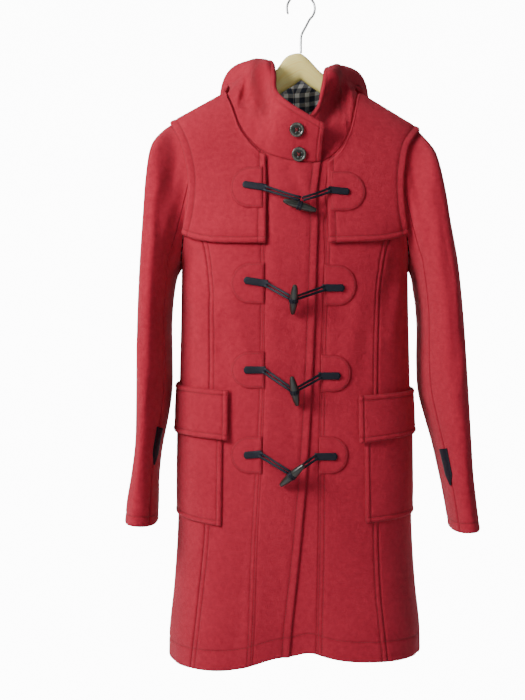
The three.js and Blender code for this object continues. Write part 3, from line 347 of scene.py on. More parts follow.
FOLDS = [  # soft creases: behind or in front, from x z to x z, width, depth
    (False, -6, 752, 14, 712, 7, -2.2),
    (False, 8, 750, 28, 706, 9, 1.6),
    (False, -96, 560, -70, 470, 12, 1.8),
    (False, -112, 500, -96, 430, 10, -1.8),
    (False, 100, 550, 82, 468, 12, 1.6),
    (False, 112, 500, 104, 436, 9, -1.6),
    (False, -6, 520, 12, 470, 9, -1.8),
    (False, -10, 380, 6, 340, 9, -1.6),
    (False, -150, 620, -128, 560, 10, -2.6),
    (False, -158, 575, -140, 500, 9, 2.2),
    (False, 158, 612, 140, 552, 10, -2.6),
    (False, 164, 570, 150, 500, 9, 2.2),
    (True, -90, 600, -60, 470, 16, -3.0),
    (True, 96, 600, 64, 480, 16, -3.0),
    (True, -40, 520, -26, 380, 15, 2.6),
    (True, 46, 520, 30, 390, 15, 2.6),
    (True, -150, 590, -128, 500, 11, -3.0),
    (True, 156, 590, 134, 500, 11, -3.0),
]


def creases(x, z, behind):
    total = np.zeros(np.broadcast(x, z).shape)
    for at_back, x0, z0, x1, z1, width, depth in FOLDS:
        along = np.array([x1 - x0, z1 - z0], float)
        t = np.clip(((x - x0) * along[0] + (z - z0) * along[1]) / (along @ along), 0, 1)
        far = np.hypot(x - x0 - t * along[0], (z - z0 - t * along[1]) * 0.8)
        total = total + np.where(behind == at_back, depth * np.exp(-((far / width) ** 2)), 0)
    return total


def hem_lift(turn):
    d = turn + 4
    d = d - 360 * np.round(d / 360)
    left_front = smooth(d / 12) * (1 - smooth((turn - 60) / 60))
    return 19 * np.exp(-((d / 17) ** 2)) + 13 * left_front


def form(turn, row):
    turn, row = np.broadcast_arrays(np.asarray(turn, float), np.asarray(row, float))
    place = bare_form(turn, row)
    behind = row > 2
    bearing = np.where(behind, 180 - turn, turn)
    r = np.where(behind, 4 - row, row)
    off = flute(bearing, place[..., 2]) + creases(place[..., 0], place[..., 2], behind)
    place = place + outward(bare_form, turn, row) * off[..., None]
    lift = hem_lift(bearing) * (1 - smooth(r * 3)) * np.where(behind, 0.2, 1)
    place[..., 2] += lift
    return place


def on_coat(turn, row, off=0.0):
    return form(turn, row) + outward(form, turn, row) * np.asarray(off)[..., None]


print("hem in front:", form(0, 0).round(1).tolist())


# %% Places by x and height
def turn_at(x, z):
    return np.degrees(np.arcsin(np.clip((x - COAT_X) / section_half_width(z), -1, 1)))


def row_at(x, z):
    share = np.clip((z - CHEST_Z) / (ridge_z(x) - CHEST_Z), 0, 1)
    upper = 2 - np.degrees(np.arccos(share ** (1 / ROOF["rise"]))) / 90
    return np.where(z <= CHEST_Z, z / CHEST_Z, upper)


def height_at(x, row):
    climb = np.maximum(0, np.cos(np.radians(90 * (2 - row))))
    upper = CHEST_Z + (ridge_z(x) - CHEST_Z) * climb ** ROOF["rise"]
    return np.where(row <= 1, row * CHEST_Z, upper)


def line_x(table, row):
    x = np.full(np.shape(row), float(table["x"][0]))
    for _ in range(8):
        x = read(table, "x", height_at(x, row))
    return x


def line_turn(table, row, shift=0.0):
    x = line_x(table, row) + shift
    return turn_at(x, height_at(x, row))


def armhole_turn(side, row):
    return np.where(row <= 1, side * 90.0, line_turn(ARMHOLE[side], np.maximum(row, 1)))


def neck_front(x):
    return read(NECK_FRONT, "z", x, "x")


def neck_back(x):
    share = np.clip(np.abs(x) / SHOULDER["neck_half"], 0, 1)
    return lerp(NECK_BACK_Z, SHOULDER["neck_z"] - 1, share**2)


def top_row(turn, back):
    """Where a column ends: on the neckline, or on the shoulder line."""
    row = np.full(np.shape(turn), RIDGE_ROW)
    for _ in range(6):
        x = bare_form(turn, row)[..., 0]
        neck = neck_back(x) if back else neck_front(x)
        row = np.minimum(RIDGE_ROW, row_at(x, neck))
        row = np.where(np.abs(x) >= SHOULDER["neck_half"], RIDGE_ROW, row)
    return row


print("neckline row in front:", float(top_row(np.array(0.0), False)))

# %% [markdown]
# ## Finishes
# Fulled wool is woven, then shrunk and brushed until the weave is gone under a short felt. What one
# sees is a soft mottle a few millimetres wide, short hairs, and a pale bloom where the light grazes
# it. One shader group makes the mottle and the hairs' height from noise on Object coordinates, so that
# the wool, the thread and the leather share it at their own scales. The bloom is the shader's own
# sheen.

# %% A group of nodes for mottled, fibrous surfaces
def add_node(tree, kind, at=(0, 0), **settings):
    node = tree.nodes.new(kind)
    node.location = at
    for key, value in settings.items():
        setattr(node, key, value)
    return node


def math_node(tree, operation, a, b=None, c=None, clamp=False):
    node = add_node(tree, "ShaderNodeMath", operation=operation, use_clamp=clamp)
    for i, value in enumerate((a, b, c)):
        if value is None:
            continue
        if isinstance(value, bpy.types.NodeSocket):
            tree.links.new(value, node.inputs[i])
        else:
            node.inputs[i].default_value = value
    return node.outputs[0]


def noise(tree, vector, scale, detail=2.0, roughness=0.5):
    node = add_node(tree, "ShaderNodeTexNoise")
    tree.links.new(vector, node.inputs["Vector"])
    if isinstance(scale, bpy.types.NodeSocket):
        tree.links.new(scale, node.inputs["Scale"])
    else:
        node.inputs["Scale"].default_value = scale
    node.inputs["Detail"].default_value = detail
    node.inputs["Roughness"].default_value = roughness
    return node.outputs["Fac"]


def fibre_group():
    """Mottle: soft patches, 0 to 1. Height: fine fibres over a slow swell, for a Bump node."""
    tree = bpy.data.node_groups.new("fibre", "ShaderNodeTree")
    sockets = tree.interface
    sockets.new_socket("Vector", in_out="INPUT", socket_type="NodeSocketVector")
    for name, value in (("Patch Scale", 90), ("Fibre Scale", 1500), ("Swell", 0.5)):
        sockets.new_socket(name, in_out="INPUT", socket_type="NodeSocketFloat").default_value = value
    sockets.new_socket("Mottle", in_out="OUTPUT", socket_type="NodeSocketFloat")
    sockets.new_socket("Height", in_out="OUTPUT", socket_type="NodeSocketFloat")
    given = add_node(tree, "NodeGroupInput")
    made = add_node(tree, "NodeGroupOutput")
    patches = noise(tree, given.outputs["Vector"], given.outputs["Patch Scale"], 4, 0.62)
    fibres = noise(tree, given.outputs["Vector"], given.outputs["Fibre Scale"], 3, 0.7)
    cloudy = noise(tree, given.outputs["Vector"], 9.0, 2, 0.5)
    both = math_node(tree, "MULTIPLY_ADD", patches, 0.65, math_node(tree, "MULTIPLY", cloudy, 0.35))
    tree.links.new(math_node(tree, "MULTIPLY_ADD", both, 2.2, -0.6, clamp=True), made.inputs["Mottle"])
    swell = math_node(tree, "MULTIPLY", patches, given.outputs["Swell"])
    tree.links.new(math_node(tree, "ADD", fibres, swell), made.inputs["Height"])
    return tree


fibre = fibre_group()
print("group:", fibre.name, [s.name for s in fibre.interface.items_tree])

# %% [markdown]
# Every finish starts alike: Object coordinates go into the group, the mottle blends two colours and
# the height feeds a Bump. Cloth and leather also carry an attribute, seam, which is 1 in a sewn
# groove and fades beside it, and is also set along folded edges and in the hood's hollow. It darkens
# the colour there. Part of that is lint, as on a worn coat, and part is painted shade in the grooves and
# hollows.

# %% The finish that all pieces share
def finish(name, dark, light, roughness, patch, fibre_scale, swell=0.5, bump=0.3, grain=0.0004, seams=True):
    material = bpy.data.materials.new(name)
    material.use_nodes = True
    tree = material.node_tree
    shader = tree.nodes["Principled BSDF"]
    place = add_node(tree, "ShaderNodeTexCoord", (-900, 0))
    group = add_node(tree, "ShaderNodeGroup", (-700, 0), node_tree=fibre)
    for key, value in (("Patch Scale", patch), ("Fibre Scale", fibre_scale), ("Swell", swell)):
        group.inputs[key].default_value = value
    tree.links.new(place.outputs["Object"], group.inputs["Vector"])
    blend = add_node(tree, "ShaderNodeMix", (-450, 100), data_type="RGBA")
    blend.inputs["A"].default_value = (*dark, 1)
    blend.inputs["B"].default_value = (*light, 1)
    tree.links.new(group.outputs["Mottle"], blend.inputs["Factor"])
    colour = blend.outputs["Result"]
    if seams:
        # painted shade, with some lint: where the seam attribute is high, the colour is multiplied darker
        mark = add_node(tree, "ShaderNodeAttribute", (-700, 300), attribute_name="seam")
        shade = add_node(tree, "ShaderNodeMix", (-250, 200), data_type="RGBA", blend_type="MULTIPLY")
        shade.inputs["B"].default_value = (0.62, 0.55, 0.55, 1)
        tree.links.new(mark.outputs["Fac"], shade.inputs["Factor"])
        tree.links.new(colour, shade.inputs["A"])
        colour = shade.outputs["Result"]
    tree.links.new(colour, shader.inputs["Base Color"])
    rough = math_node(tree, "MULTIPLY_ADD", group.outputs["Mottle"], -0.08, roughness)
    tree.links.new(rough, shader.inputs["Roughness"])
    bumps = add_node(tree, "ShaderNodeBump", (-250, -200))
    bumps.inputs["Strength"].default_value = bump
    bumps.inputs["Distance"].default_value = grain
    tree.links.new(group.outputs["Height"], bumps.inputs["Height"])
    tree.links.new(bumps.outputs["Normal"], shader.inputs["Normal"])
    return material, shader, colour


wool, wool_shader, _ = finish(
    "red_fulled_wool",
    (0.37, 0.014, 0.033),
    (0.55, 0.026, 0.054),
    0.95,
    150,
    1400,
    swell=0.9,
    bump=0.9,
    grain=0.0014,
)
wool_shader.inputs["Sheen Weight"].default_value = 0.16
wool_shader.inputs["Sheen Roughness"].default_value = 0.45
wool_shader.inputs["Sheen Tint"].default_value = (1.0, 0.5, 0.52, 1)
wool_shader.inputs["Specular IOR Level"].default_value = 0.2
print("wool: base from dark to light, sheen 0.16")

# %% [markdown]
# The lining is a navy and off-white gingham check. A woven check follows the cut of each piece, so it
# reads the piece's own UV map, which is laid in metres along and across the cloth. Two square waves
# give the stripes: where both cross the cloth is navy, where one runs it is a paler tone.

# %% Checked lining
CHECK = 0.016  # metres from one navy stripe to the next
STRIPE_SHARE = 0.56  # how much of that the stripe takes
ONE_STRIPE = 0.72  # how navy a single stripe is; two are wholly navy


def stripe(tree, coordinate):
    wave = math_node(tree, "FRACT", math_node(tree, "DIVIDE", coordinate, CHECK))
    return math_node(tree, "LESS_THAN", wave, STRIPE_SHARE)


def checked_lining():
    material, shader, _ = finish(
        "checked_lining", (0.66, 0.68, 0.72), (0.78, 0.8, 0.84), 0.9, 300, 2600, bump=0.3, seams=False
    )
    tree = material.node_tree
    uv = add_node(tree, "ShaderNodeUVMap", (-900, 500), uv_map="cloth")
    parts = add_node(tree, "ShaderNodeSeparateXYZ", (-750, 500))
    tree.links.new(uv.outputs["UV"], parts.inputs[0])
    both = math_node(tree, "ADD", stripe(tree, parts.outputs["X"]), stripe(tree, parts.outputs["Y"]))
    share = math_node(tree, "MULTIPLY", both, ONE_STRIPE, clamp=True)
    ground = shader.inputs["Base Color"].links[0].from_socket
    check = add_node(tree, "ShaderNodeMix", (-100, 400), data_type="RGBA")
    check.inputs["B"].default_value = (0.012, 0.02, 0.06, 1)
    tree.links.new(share, check.inputs["Factor"])
    tree.links.new(ground, check.inputs["A"])
    tree.links.new(check.outputs["Result"], shader.inputs["Base Color"])
    shader.inputs["Sheen Weight"].default_value = 0.1
    return material


lining = checked_lining()
print("lining check:", CHECK * 1000, "mm")

# %% [markdown]
# Thread is the wool's red but darker and smoother. The toggles' straps are soft navy leather with a
# fine grain. Toggles and buttons are dark grey-green horn, polished over long pale streaks. The
# hanger is clear-lacquered pale wood whose grain runs along it, and its hook is plated wire.

# %% Thread, leather and steel
thread, _, _ = finish(
    "red_thread", (0.2, 0.012, 0.02), (0.3, 0.02, 0.03), 0.7, 500, 3000, seams=False
)
leather, leather_shader, _ = finish(
    "navy_leather",
    (0.004, 0.005, 0.01),
    (0.01, 0.012, 0.024),
    0.6,
    420,
    1500,
    swell=1.4,
    bump=0.5,
    grain=0.0005,
)
leather_shader.inputs["Specular IOR Level"].default_value = 0.3
steel, steel_shader, _ = finish(
    "plated_wire", (0.52, 0.53, 0.55), (0.66, 0.67, 0.69), 0.36, 200, 2500, bump=0.04, seams=False
)
steel_shader.inputs["Metallic"].default_value = 1
print("made:", thread.name, leather.name, steel.name)


# %% Horn and wood, with a grain along the piece's own UV map
def grained(name, dark, light, roughness, stretch, scale, coat):
    """A streaked material: noise on the piece's UV map, drawn out along v."""
    material = bpy.data.materials.new(name)
    material.use_nodes = True
    tree = material.node_tree
    shader = tree.nodes["Principled BSDF"]
    uv = add_node(tree, "ShaderNodeUVMap", (-1100, 0), uv_map="cloth")
    mapping = add_node(tree, "ShaderNodeMapping", (-900, 0))
    mapping.inputs["Scale"].default_value = (1, stretch, 1)
    tree.links.new(uv.outputs["UV"], mapping.inputs["Vector"])
    bent = add_node(tree, "ShaderNodeVectorMath", (-700, 0), operation="ADD")
    sway = noise(tree, mapping.outputs["Vector"], scale * 0.25, 2, 0.5)
    tree.links.new(mapping.outputs["Vector"], bent.inputs[0])
    tree.links.new(math_node(tree, "MULTIPLY", sway, 0.01), bent.inputs[1])
    streak = noise(tree, bent.outputs[0], scale, 5, 0.65)
    ramp = add_node(tree, "ShaderNodeValToRGB", (-300, 100))
    ramp.color_ramp.elements[0].position = 0.34
    ramp.color_ramp.elements[0].color = (*dark, 1)
    ramp.color_ramp.elements[1].position = 0.68
    ramp.color_ramp.elements[1].color = (*light, 1)
    tree.links.new(streak, ramp.inputs["Fac"])
    tree.links.new(ramp.outputs["Color"], shader.inputs["Base Color"])
    rough = math_node(tree, "MULTIPLY_ADD", streak, 0.16, roughness - 0.08)
    tree.links.new(rough, shader.inputs["Roughness"])
    bumps = add_node(tree, "ShaderNodeBump", (-300, -250))
    bumps.inputs["Strength"].default_value = 0.12
    bumps.inputs["Distance"].default_value = 0.0004
    tree.links.new(streak, bumps.inputs["Height"])
    tree.links.new(bumps.outputs["Normal"], shader.inputs["Normal"])
    shader.inputs["Coat Weight"].default_value = coat
    shader.inputs["Coat Roughness"].default_value = 0.15
    return material


horn = grained("dark_horn", (0.005, 0.006, 0.005), (0.03, 0.033, 0.027), 0.3, 0.14, 700, 0.4)
# painted highlight: a paler horn for the crest of the buttons' rims
painted_highlight_horn = grained("painted_highlight_horn", (0.025, 0.025, 0.02), (0.16, 0.155, 0.13), 0.25, 0.14, 700, 0.5)
wood = grained("pale_wood", (0.95, 0.72, 0.2), (1.0, 0.9, 0.34), 0.42, 0.05, 420, 0.35)
print("made:", horn.name, painted_highlight_horn.name, wood.name)

# %% [markdown]
# ## Cutting cloth
# A tailor measures from the edges: the stitches run 8 mm from one edge and the hem is 30 mm deep,
# however wide the piece is. So each piece is a grid whose lines keep set distances from its edges, in
# millimetres along the cloth, with even steps between. Along an edge the cloth turns down round its
# fold, and along a row of stitches it is pulled into a groove, with a slight puff on both sides.

# %% Distances across a piece
EDGE = [0, 0.7, 1.6, 3, 5]  # finer steps beside an edge
TOPSTITCH = [6.4, 7.4, 8, 8.6, 9.6, 12]  # and round a row of stitches 8 mm in


def ladder(length, near, far, gap):
    """Distances from 0 to length: near's steps, then even ones of about gap, then far's."""
    length = np.asarray(length, float)[..., None]
    room = float(np.median(length)) - near[-1] - far[-1]
    count = max(2, int(round(room / gap)) + 1)
    even = near[-1] + (length - near[-1] - far[-1]) * np.linspace(0, 1, count)[1:-1]
    start = np.broadcast_to(near, (*length.shape[:-1], len(near)))
    end = length - np.array(far[::-1])
    return np.concatenate([start, even, end], -1)


def travelled(points, axis):
    """How far along each grid line a point lies, from its start."""
    leg = np.linalg.norm(np.diff(points, axis=axis), axis=-1)
    start = np.zeros_like(np.take(leg, [0], axis=axis))
    return np.concatenate([start, np.cumsum(leg, axis=axis)], axis)


def shares_at(distance, lines, targets):
    """Where along each line (rows of distance) its targets lie, read between samples."""
    return np.stack([np.interp(t, d, lines) for d, t in zip(distance, targets)])


print("a 180 mm row:", ladder([180.0], EDGE, EDGE, 6).round(1).tolist()[0][:12], "...")


# %% A grid that keeps its distances from the edges
def spaced(shape, levels, across, up, seam=None, samples=90):
    """A grid of (s, level) places on shape(s, level) and each place's distances from the edges.

    across(length) and up(length) give the distances of the columns and rows. seam(level) is the
    share of a line inside the piece; then across takes the distance to it as well."""
    s = np.linspace(0, 1, samples)
    level = np.linspace(*levels, samples)
    dense = shape(s[None, :], level[:, None])
    along, climb = travelled(dense, 1), travelled(dense, 0)
    # rows first: the level of each row, as it changes over s
    row_levels = shares_at(climb.T, level, up(climb[-1])).T  # rows x samples
    middle = row_levels.mean(1)
    lines = shape(s[None, :], row_levels)
    along = travelled(lines, 1)
    if seam is None:
        targets = across(along[:, -1])
    else:
        inside = np.array([np.interp(seam(m), s, a) for m, a in zip(middle, along)])
        targets = across(along[:, -1], inside)
    S = shares_at(along, s, targets)
    L = np.stack([np.interp(row, s, levels_here) for row, levels_here in zip(S, row_levels)])
    points = shape(S, L)
    height = travelled(points, 0)
    far = {"left": targets, "right": along[:, -1:] - targets, "low": height, "top": height[-1:] - height}
    if seam is not None:
        far["seam"] = targets - inside[:, None]
    return points, far, (S, L)


def grid_normals(points, sign):
    across = np.gradient(points, axis=1)
    up = np.gradient(points, axis=0)
    return sign * unit(np.cross(across, up))


print("spaced() ready")


# %% Relief: folded edges, stitched grooves and seams
ALL_ROUND = ("left", "right", "low", "top")


def bump_at(distance, at, depth, width):
    return depth * np.exp(-(((distance - at) / width) ** 2))


def to_edge(far):
    return np.minimum.reduce([far[edge] for edge in ALL_ROUND])


def relief(far, edges, stitches, seam_line=False, puff=0.35):
    """Height over the cloth's face, in mm, and how far each place is darkened: painted shade, with some
    lint, in seams, grooves and along folded edges.
    """
    rise = np.zeros_like(far["left"])
    mark = np.zeros_like(rise)
    for side in edges:
        rise = rise + bump_at(far[side], 0, -1.15, 1.3) + bump_at(far[side], 4.2, puff, 3.0)
        mark = np.maximum(mark, bump_at(far[side], 0, 0.8, 1.6))
    for side, at in stitches:
        rise = rise + bump_at(far[side], at, -0.75, 1.1) + bump_at(far[side], at + 3, 0.18, 2.2)
        mark = np.maximum(mark, bump_at(far[side], at, 0.55, 1.3))
    if seam_line:
        rise = rise + bump_at(far["seam"], 0, -0.8, 0.9)
        mark = np.maximum(mark, bump_at(far["seam"], 0, 0.8, 1.1))
    return rise, mark


print("relief() ready")


# %% From a grid to a closed wall of cloth
PIECES = {}
CUTS = {}  # each cloth piece's width, length and area when flat, in metres
TRACKS = []  # lines of points and normals that the stitches will follow


def enclosed(points, faces):
    """Six times the volume inside the faces: below zero, they are inside out."""
    total = 0.0
    for size in {len(face) for face in faces}:
        same = np.array([face for face in faces if len(face) == size])
        for i in range(1, size - 1):
            a, b, c = points[same[:, 0]], points[same[:, i]], points[same[:, i + 1]]
            total += float(np.einsum("ij,ij->", a, np.cross(b, c)))
    return total


def mesh_object(name, points, faces, finishes, material_index=None, uv=None, seam=None):
    """A mesh object at the origin from points in the coat's millimetres, its faces turned outwards."""
    points = (np.asarray(points, float) - ORIGIN) * MM
    faces = [tuple(int(v) for v in face) for face in faces]
    if enclosed(points, faces) < 0:
        faces = [face[::-1] for face in faces]
    mesh = bpy.data.meshes.new(name + "_piece")
    mesh.from_pydata(points.tolist(), [], faces)
    for finish_used in finishes:
        mesh.materials.append(finish_used)
    if material_index is not None:
        mesh.polygons.foreach_set("material_index", np.asarray(material_index, np.int32))
    if uv is not None:
        layer = mesh.uv_layers.new(name="cloth")
        order = np.zeros(len(mesh.loops), np.int32)
        mesh.loops.foreach_get("vertex_index", order)
        layer.data.foreach_set("uv", (np.asarray(uv, float)[order] * MM).ravel())
    if seam is not None:
        # painted shade, with some lint: the seam attribute darkens seams, edges and hollows
        shade = mesh.attributes.new("seam", "FLOAT", "POINT")  # darkens seams and hollows
        shade.data.foreach_set("value", np.asarray(seam, float))
    mesh.shade_smooth()
    mesh.update()
    made = bpy.data.objects.new(name + "_piece", mesh)
    bpy.context.collection.objects.link(made)
    PIECES[name] = made
    return made


def flat_cut(points, far):
    """Width, length and area of the cloth, in metres, laid flat. A row's climb adds no width."""
    level = np.linalg.norm(np.diff(points[..., :2], axis=1), axis=-1).sum(1)
    one = points[1:, 1:] - points[:-1, :-1]
    other = points[1:, :-1] - points[:-1, 1:]
    area = float(np.linalg.norm(np.cross(one, other), axis=-1).sum()) / 2
    width, length = float(level.max()), float(np.median(far["low"][-1]))
    width, length = max(width, 1.01 * area / length), length
    return round(width * MM, 3), round(length * MM, 3), round(area * MM * MM, 5)


def cloth_wall(name, points, far, sign, rise, mark, thick=CLOTH, inside=None, tuck=0.9):
    """A wall whose outer face is points plus its relief and whose inner face lies thick behind it."""
    rows, columns = points.shape[:2]
    normals = grid_normals(points, sign)
    outer = points + normals * rise[..., None]
    inset = bump_at(to_edge(far), 0, tuck, 1.2)  # the inner face is turned in at the edges
    inner = points - normals * (thick - inset)[..., None]
    CUTS[name] = flat_cut(points, far)
    n = rows * columns
    grid = np.arange(n).reshape(rows, columns)
    a, b = grid[:-1, :-1].ravel(), grid[:-1, 1:].ravel()
    c, d = grid[1:, 1:].ravel(), grid[1:, :-1].ravel()
    faces = np.concatenate([np.stack([a, b, c, d], 1), np.stack([a, d, c, b], 1) + n])
    ring = np.concatenate([grid[0, :-1], grid[:-1, -1], grid[-1, :0:-1], grid[:0:-1, 0]])
    following = np.roll(ring, -1)
    rim = np.stack([ring, ring + n, following + n, following], 1)
    faces = np.concatenate([faces, rim])
    index = np.zeros(len(faces), np.int32)
    if inside is not None:
        index[len(a) : 2 * len(a)] = 1
    uv = np.stack([far["left"], far["low"]], -1).reshape(-1, 2)
    made = mesh_object(
        name,
        np.concatenate([outer.reshape(-1, 3), inner.reshape(-1, 3)]),
        faces,
        [wool, inside] if inside is not None else [wool],
        index,
        np.concatenate([uv, uv]),
        np.concatenate([mark.ravel(), 0.3 * mark.ravel()]),
    )
    return made, outer, normals


def track(outer, normals, far, side, at, start=0, stop=None):
    """Keeps the grid line that runs at a distance from an edge, for the stitches."""
    distance = far[side]
    if side in ("low", "top"):
        i = int(np.argmin(np.abs(distance[:, distance.shape[1] // 2] - at)))
        TRACKS.append((outer[i, start:stop], normals[i, start:stop]))
    else:
        i = int(np.argmin(np.abs(distance[distance.shape[0] // 2] - at)))
        TRACKS.append((outer[start:stop, i], normals[start:stop, i]))


print("cloth_wall() ready")

# %% [markdown]
# ## Body
# Six pieces make the coat's tube: two centre fronts, two side fronts behind the princess seams, and
# two backs. The wearer's right front laps over the left one. Each front has a placket seam that is
# stitched twice, and the hem is turned up 30 mm and stitched through.

# %% A panel of the body
SPLIT_ROW = 1.28  # above this the rows climb to the neckline
LAYER_GAP = 0.5
LAP = CLOTH + LAYER_GAP
YOKE_TOP = 1.96
FRONT_TOPS = {
    -1: [0, 0.083, 0.166, 0.25, 0.333, 0.409, 0.474, 0.523, 0.561, 0.597, 0.689, 0.787, 0.89, 1],
    1: [0, 0.088, 0.172, 0.247, 0.31, 0.368, 0.413, 0.446, 0.473, 0.513, 0.624, 0.742, 0.866, 1],
}


def even(s, level):
    return s


def front_spread(side):
    """Columns run evenly below and gather at the top round the neck's corner."""
    known = np.linspace(0, 1, 14)

    def spread(s, level):
        top = np.interp(s, known, FRONT_TOPS[side])
        return lerp(s, top, smooth((level - SPLIT_ROW) / (2 - SPLIT_ROW)))

    return spread


def panel(start, end, back=False, lift=None, spread=even):
    def shape(s, level):
        s, level = np.broadcast_arrays(np.asarray(s, float), np.asarray(level, float))
        turn = lerp(start(level), end(level), spread(s, level))
        top_level = np.full(s.shape, 2.0)
        top = top_row(lerp(start(top_level), end(top_level), spread(s, top_level)), back)
        climb = np.maximum(0, (level - SPLIT_ROW) / (2 - SPLIT_ROW))
        row = np.where(level <= SPLIT_ROW, level, lerp(SPLIT_ROW, top, climb))
        x = bare_form(turn, row)[..., 0]
        z = height_at(x, row)
        off = lift(x, z) if lift else np.zeros(s.shape)
        return on_coat(turn, 4 - row if back else row, off)

    return shape


def lap_lift(x, z):
    """How far the right front stands off where it lies over the left front."""
    return LAP * smooth((x - (read(LAP_EDGE, "x", z) - UNDERLAP - 26)) / 22)


def opening_turn(side, level):
    return line_turn(LAP_EDGE, level, 0 if side < 0 else -UNDERLAP)


def front_outer(side):
    end = PRINCESS[side]["z"][-1]

    def outer(level):
        past = (level > 1) & (height_at(line_x(ARMHOLE[side], np.maximum(level, 1)), level) > end)
        return np.where(past, armhole_turn(side, level), line_turn(PRINCESS[side], level))

    return outer


def centre_front(side):
    lift = lap_lift if side < 0 else None
    return panel(
        lambda level: opening_turn(side, level),
        front_outer(side),
        lift=lift,
        spread=front_spread(side),
    )


def placket_share(side):
    table = PLACKET_RIGHT if side < 0 else PLACKET_LEFT
    spread, outer, s = front_spread(side), front_outer(side), np.linspace(0, 1, 60)

    def share(level):
        start, end = opening_turn(side, level), outer(np.asarray(level))
        share_there = (line_turn(table, level) - start) / (end - start)
        return float(np.interp(share_there, spread(s, level), s))

    return share


print("placket at", round(placket_share(-1)(0.5), 3), "of the right front's width")

# %% Cut the centre fronts
HEM = [0, 0.7, 1.6, 3, 6, 12, 20, 26, 29, 30, 31, 33]
TOP_EDGE = [0, 0.7, 1.6, 3, 6]
PLACKET = [0, 0.8, 1.6, 2.4, 3, 3.6, 6, 8.4, 9, 9.6, 12]


def front_columns(side):
    stitched = [*EDGE, 9, 11.4, 12, 12.6, 14] if side < 0 else EDGE
    seam_side = [*EDGE, *TOPSTITCH]

    def across(length, inside):
        room = np.median(inside)
        first = ladder(inside, stitched, PLACKET[:4] if room < 60 else [0, 0.8, 1.6, 4], 6)
        second = inside[:, None] + ladder(length - inside, PLACKET, seam_side, 6)
        return np.concatenate([first, second[:, 1:]], 1)

    return across


def make_centre_front(side):
    shape = centre_front(side)
    points, far, _ = spaced(
        shape,
        (0, 2),
        front_columns(side),
        lambda h: ladder(h, HEM, TOP_EDGE, 7),
        placket_share(side),
    )
    stitches = [("low", 30), ("right", 8), ("seam", 3), ("seam", 9)]
    if side < 0:
        stitches.append(("left", 12))
    rise, mark = relief(far, ALL_ROUND, stitches, seam_line=True)
    name = "front_centre_" + SIDES[side]
    made, outer, normals = cloth_wall(name, points, far, side, rise, mark, inside=lining)
    for line, at in stitches:
        track(outer, normals, far, line, at, start=1, stop=-1)
    return made


for side in (-1, 1):
    print(len(make_centre_front(side).data.polygons), "faces in the centre front,", SIDES[side])


# %% Cut the side fronts and the backs
def make_side_front(side):
    shape = panel(
        lambda level: line_turn(PRINCESS[side], level), lambda level: armhole_turn(side, level)
    )
    points, far, _ = spaced(
        shape, (0, SPLIT_ROW), lambda w: ladder(w, EDGE, EDGE, 6), lambda h: ladder(h, HEM, EDGE, 8)
    )
    rise, mark = relief(far, ("left", "right", "low"), [("low", 30)])
    name = "front_side_" + SIDES[side]
    made, outer, normals = cloth_wall(name, points, far, side, rise, mark, inside=lining)
    track(outer, normals, far, "low", 30, 1, -1)
    return made


def back_half(side, lift=None):
    return panel(
        lambda level: np.zeros(np.shape(level)),
        lambda level: armhole_turn(side, level),
        back=True,
        lift=lift,
    )


def make_back(side):
    points, far, _ = spaced(
        back_half(side),
        (0, 2),
        lambda w: ladder(w, [*EDGE, *TOPSTITCH], EDGE, 7),
        lambda h: ladder(h, HEM, EDGE, 8),
    )
    stitches = [("low", 30), ("left", 8)]
    rise, mark = relief(far, ALL_ROUND, stitches)
    name = "back_" + SIDES[side]
    made, outer, normals = cloth_wall(name, points, far, -side, rise, mark, inside=lining)
    for line, at in stitches:
        track(outer, normals, far, line, at, 1, -1)
    return made


for side in (-1, 1):
    print(SIDES[side], len(make_side_front(side).data.polygons), len(make_back(side).data.polygons), "faces")

# %% [markdown]
# ## Storm yoke
# A storm yoke is a second layer over the shoulders that keeps rain off the seams. Its lower edge is
# free, so it stands off a little and drops a shadow. The front yokes' edges and the one behind are
# stitched all round, 9 mm in along the bottom and 12 mm in at the sides.

# %% Front yokes
YOKES = {
    -1: {"inner_x": -41, "low_inner": 637, "low_outer": 655, "sag": 5, "outer_x": -167},
    1: {"inner_x": 52, "low_inner": 637, "low_outer": 655, "sag": 3, "outer_x": 175},
}
YOKE_FLARE = 2.5
YOKE_EASE = 0.8
YOKE_EDGE = [*EDGE, 7, 8.4, 9, 9.6, 11]
YOKE_SIDE = [*EDGE, 9, 11.4, 12, 12.6, 14]


def yoke_lift(x, z):
    return LAP + YOKE_EASE + YOKE_FLARE * (1 - smooth((row_at(x, z) - 1.2) / 0.3))


def front_yoke(side):
    yoke = YOKES[side]

    def inner_share(level):
        """The share of the way to the armhole at which a column stays on the yoke's inner edge."""
        start = opening_turn(side, level)
        width = armhole_turn(side, level) - start
        two = np.full(np.shape(level), 2.0)
        climb = np.maximum(0, (level - SPLIT_ROW) / (2 - SPLIT_ROW))
        share = np.full(np.shape(level), 0.3)
        for _ in range(4):
            top = top_row(lerp(opening_turn(side, two), armhole_turn(side, two), share), False)
            row = np.where(level <= SPLIT_ROW, level, lerp(SPLIT_ROW, top, climb))
            share = (turn_at(yoke["inner_x"], height_at(yoke["inner_x"], row)) - start) / width
        return share

    base = panel(
        lambda level: opening_turn(side, level),
        lambda level: armhole_turn(side, level),
        lift=lambda x, z: yoke_lift(x, z) + (lap_lift(x, z) if side < 0 else 0),
        spread=lambda s, level: lerp(inner_share(level), 1, s),
    )

    def shape(s, t):
        x = lerp(yoke["inner_x"], yoke["outer_x"], s)
        straight = lerp(yoke["low_inner"], yoke["low_outer"], s)
        low = row_at(x, straight - yoke["sag"] * np.sin(np.pi * s))
        return base(s, lerp(low, YOKE_TOP, t))

    return shape


def make_yoke(name, shape, sign, columns, stitches):
    points, far, _ = spaced(shape, (0, 1), columns, lambda h: ladder(h, YOKE_EDGE, EDGE, 6))
    rise, mark = relief(far, ALL_ROUND, stitches, puff=1.0)
    made, outer, normals = cloth_wall(name, points, far, sign, rise, mark)
    for line, at in stitches:
        track(outer, normals, far, line, at, 2, -2)
    return made


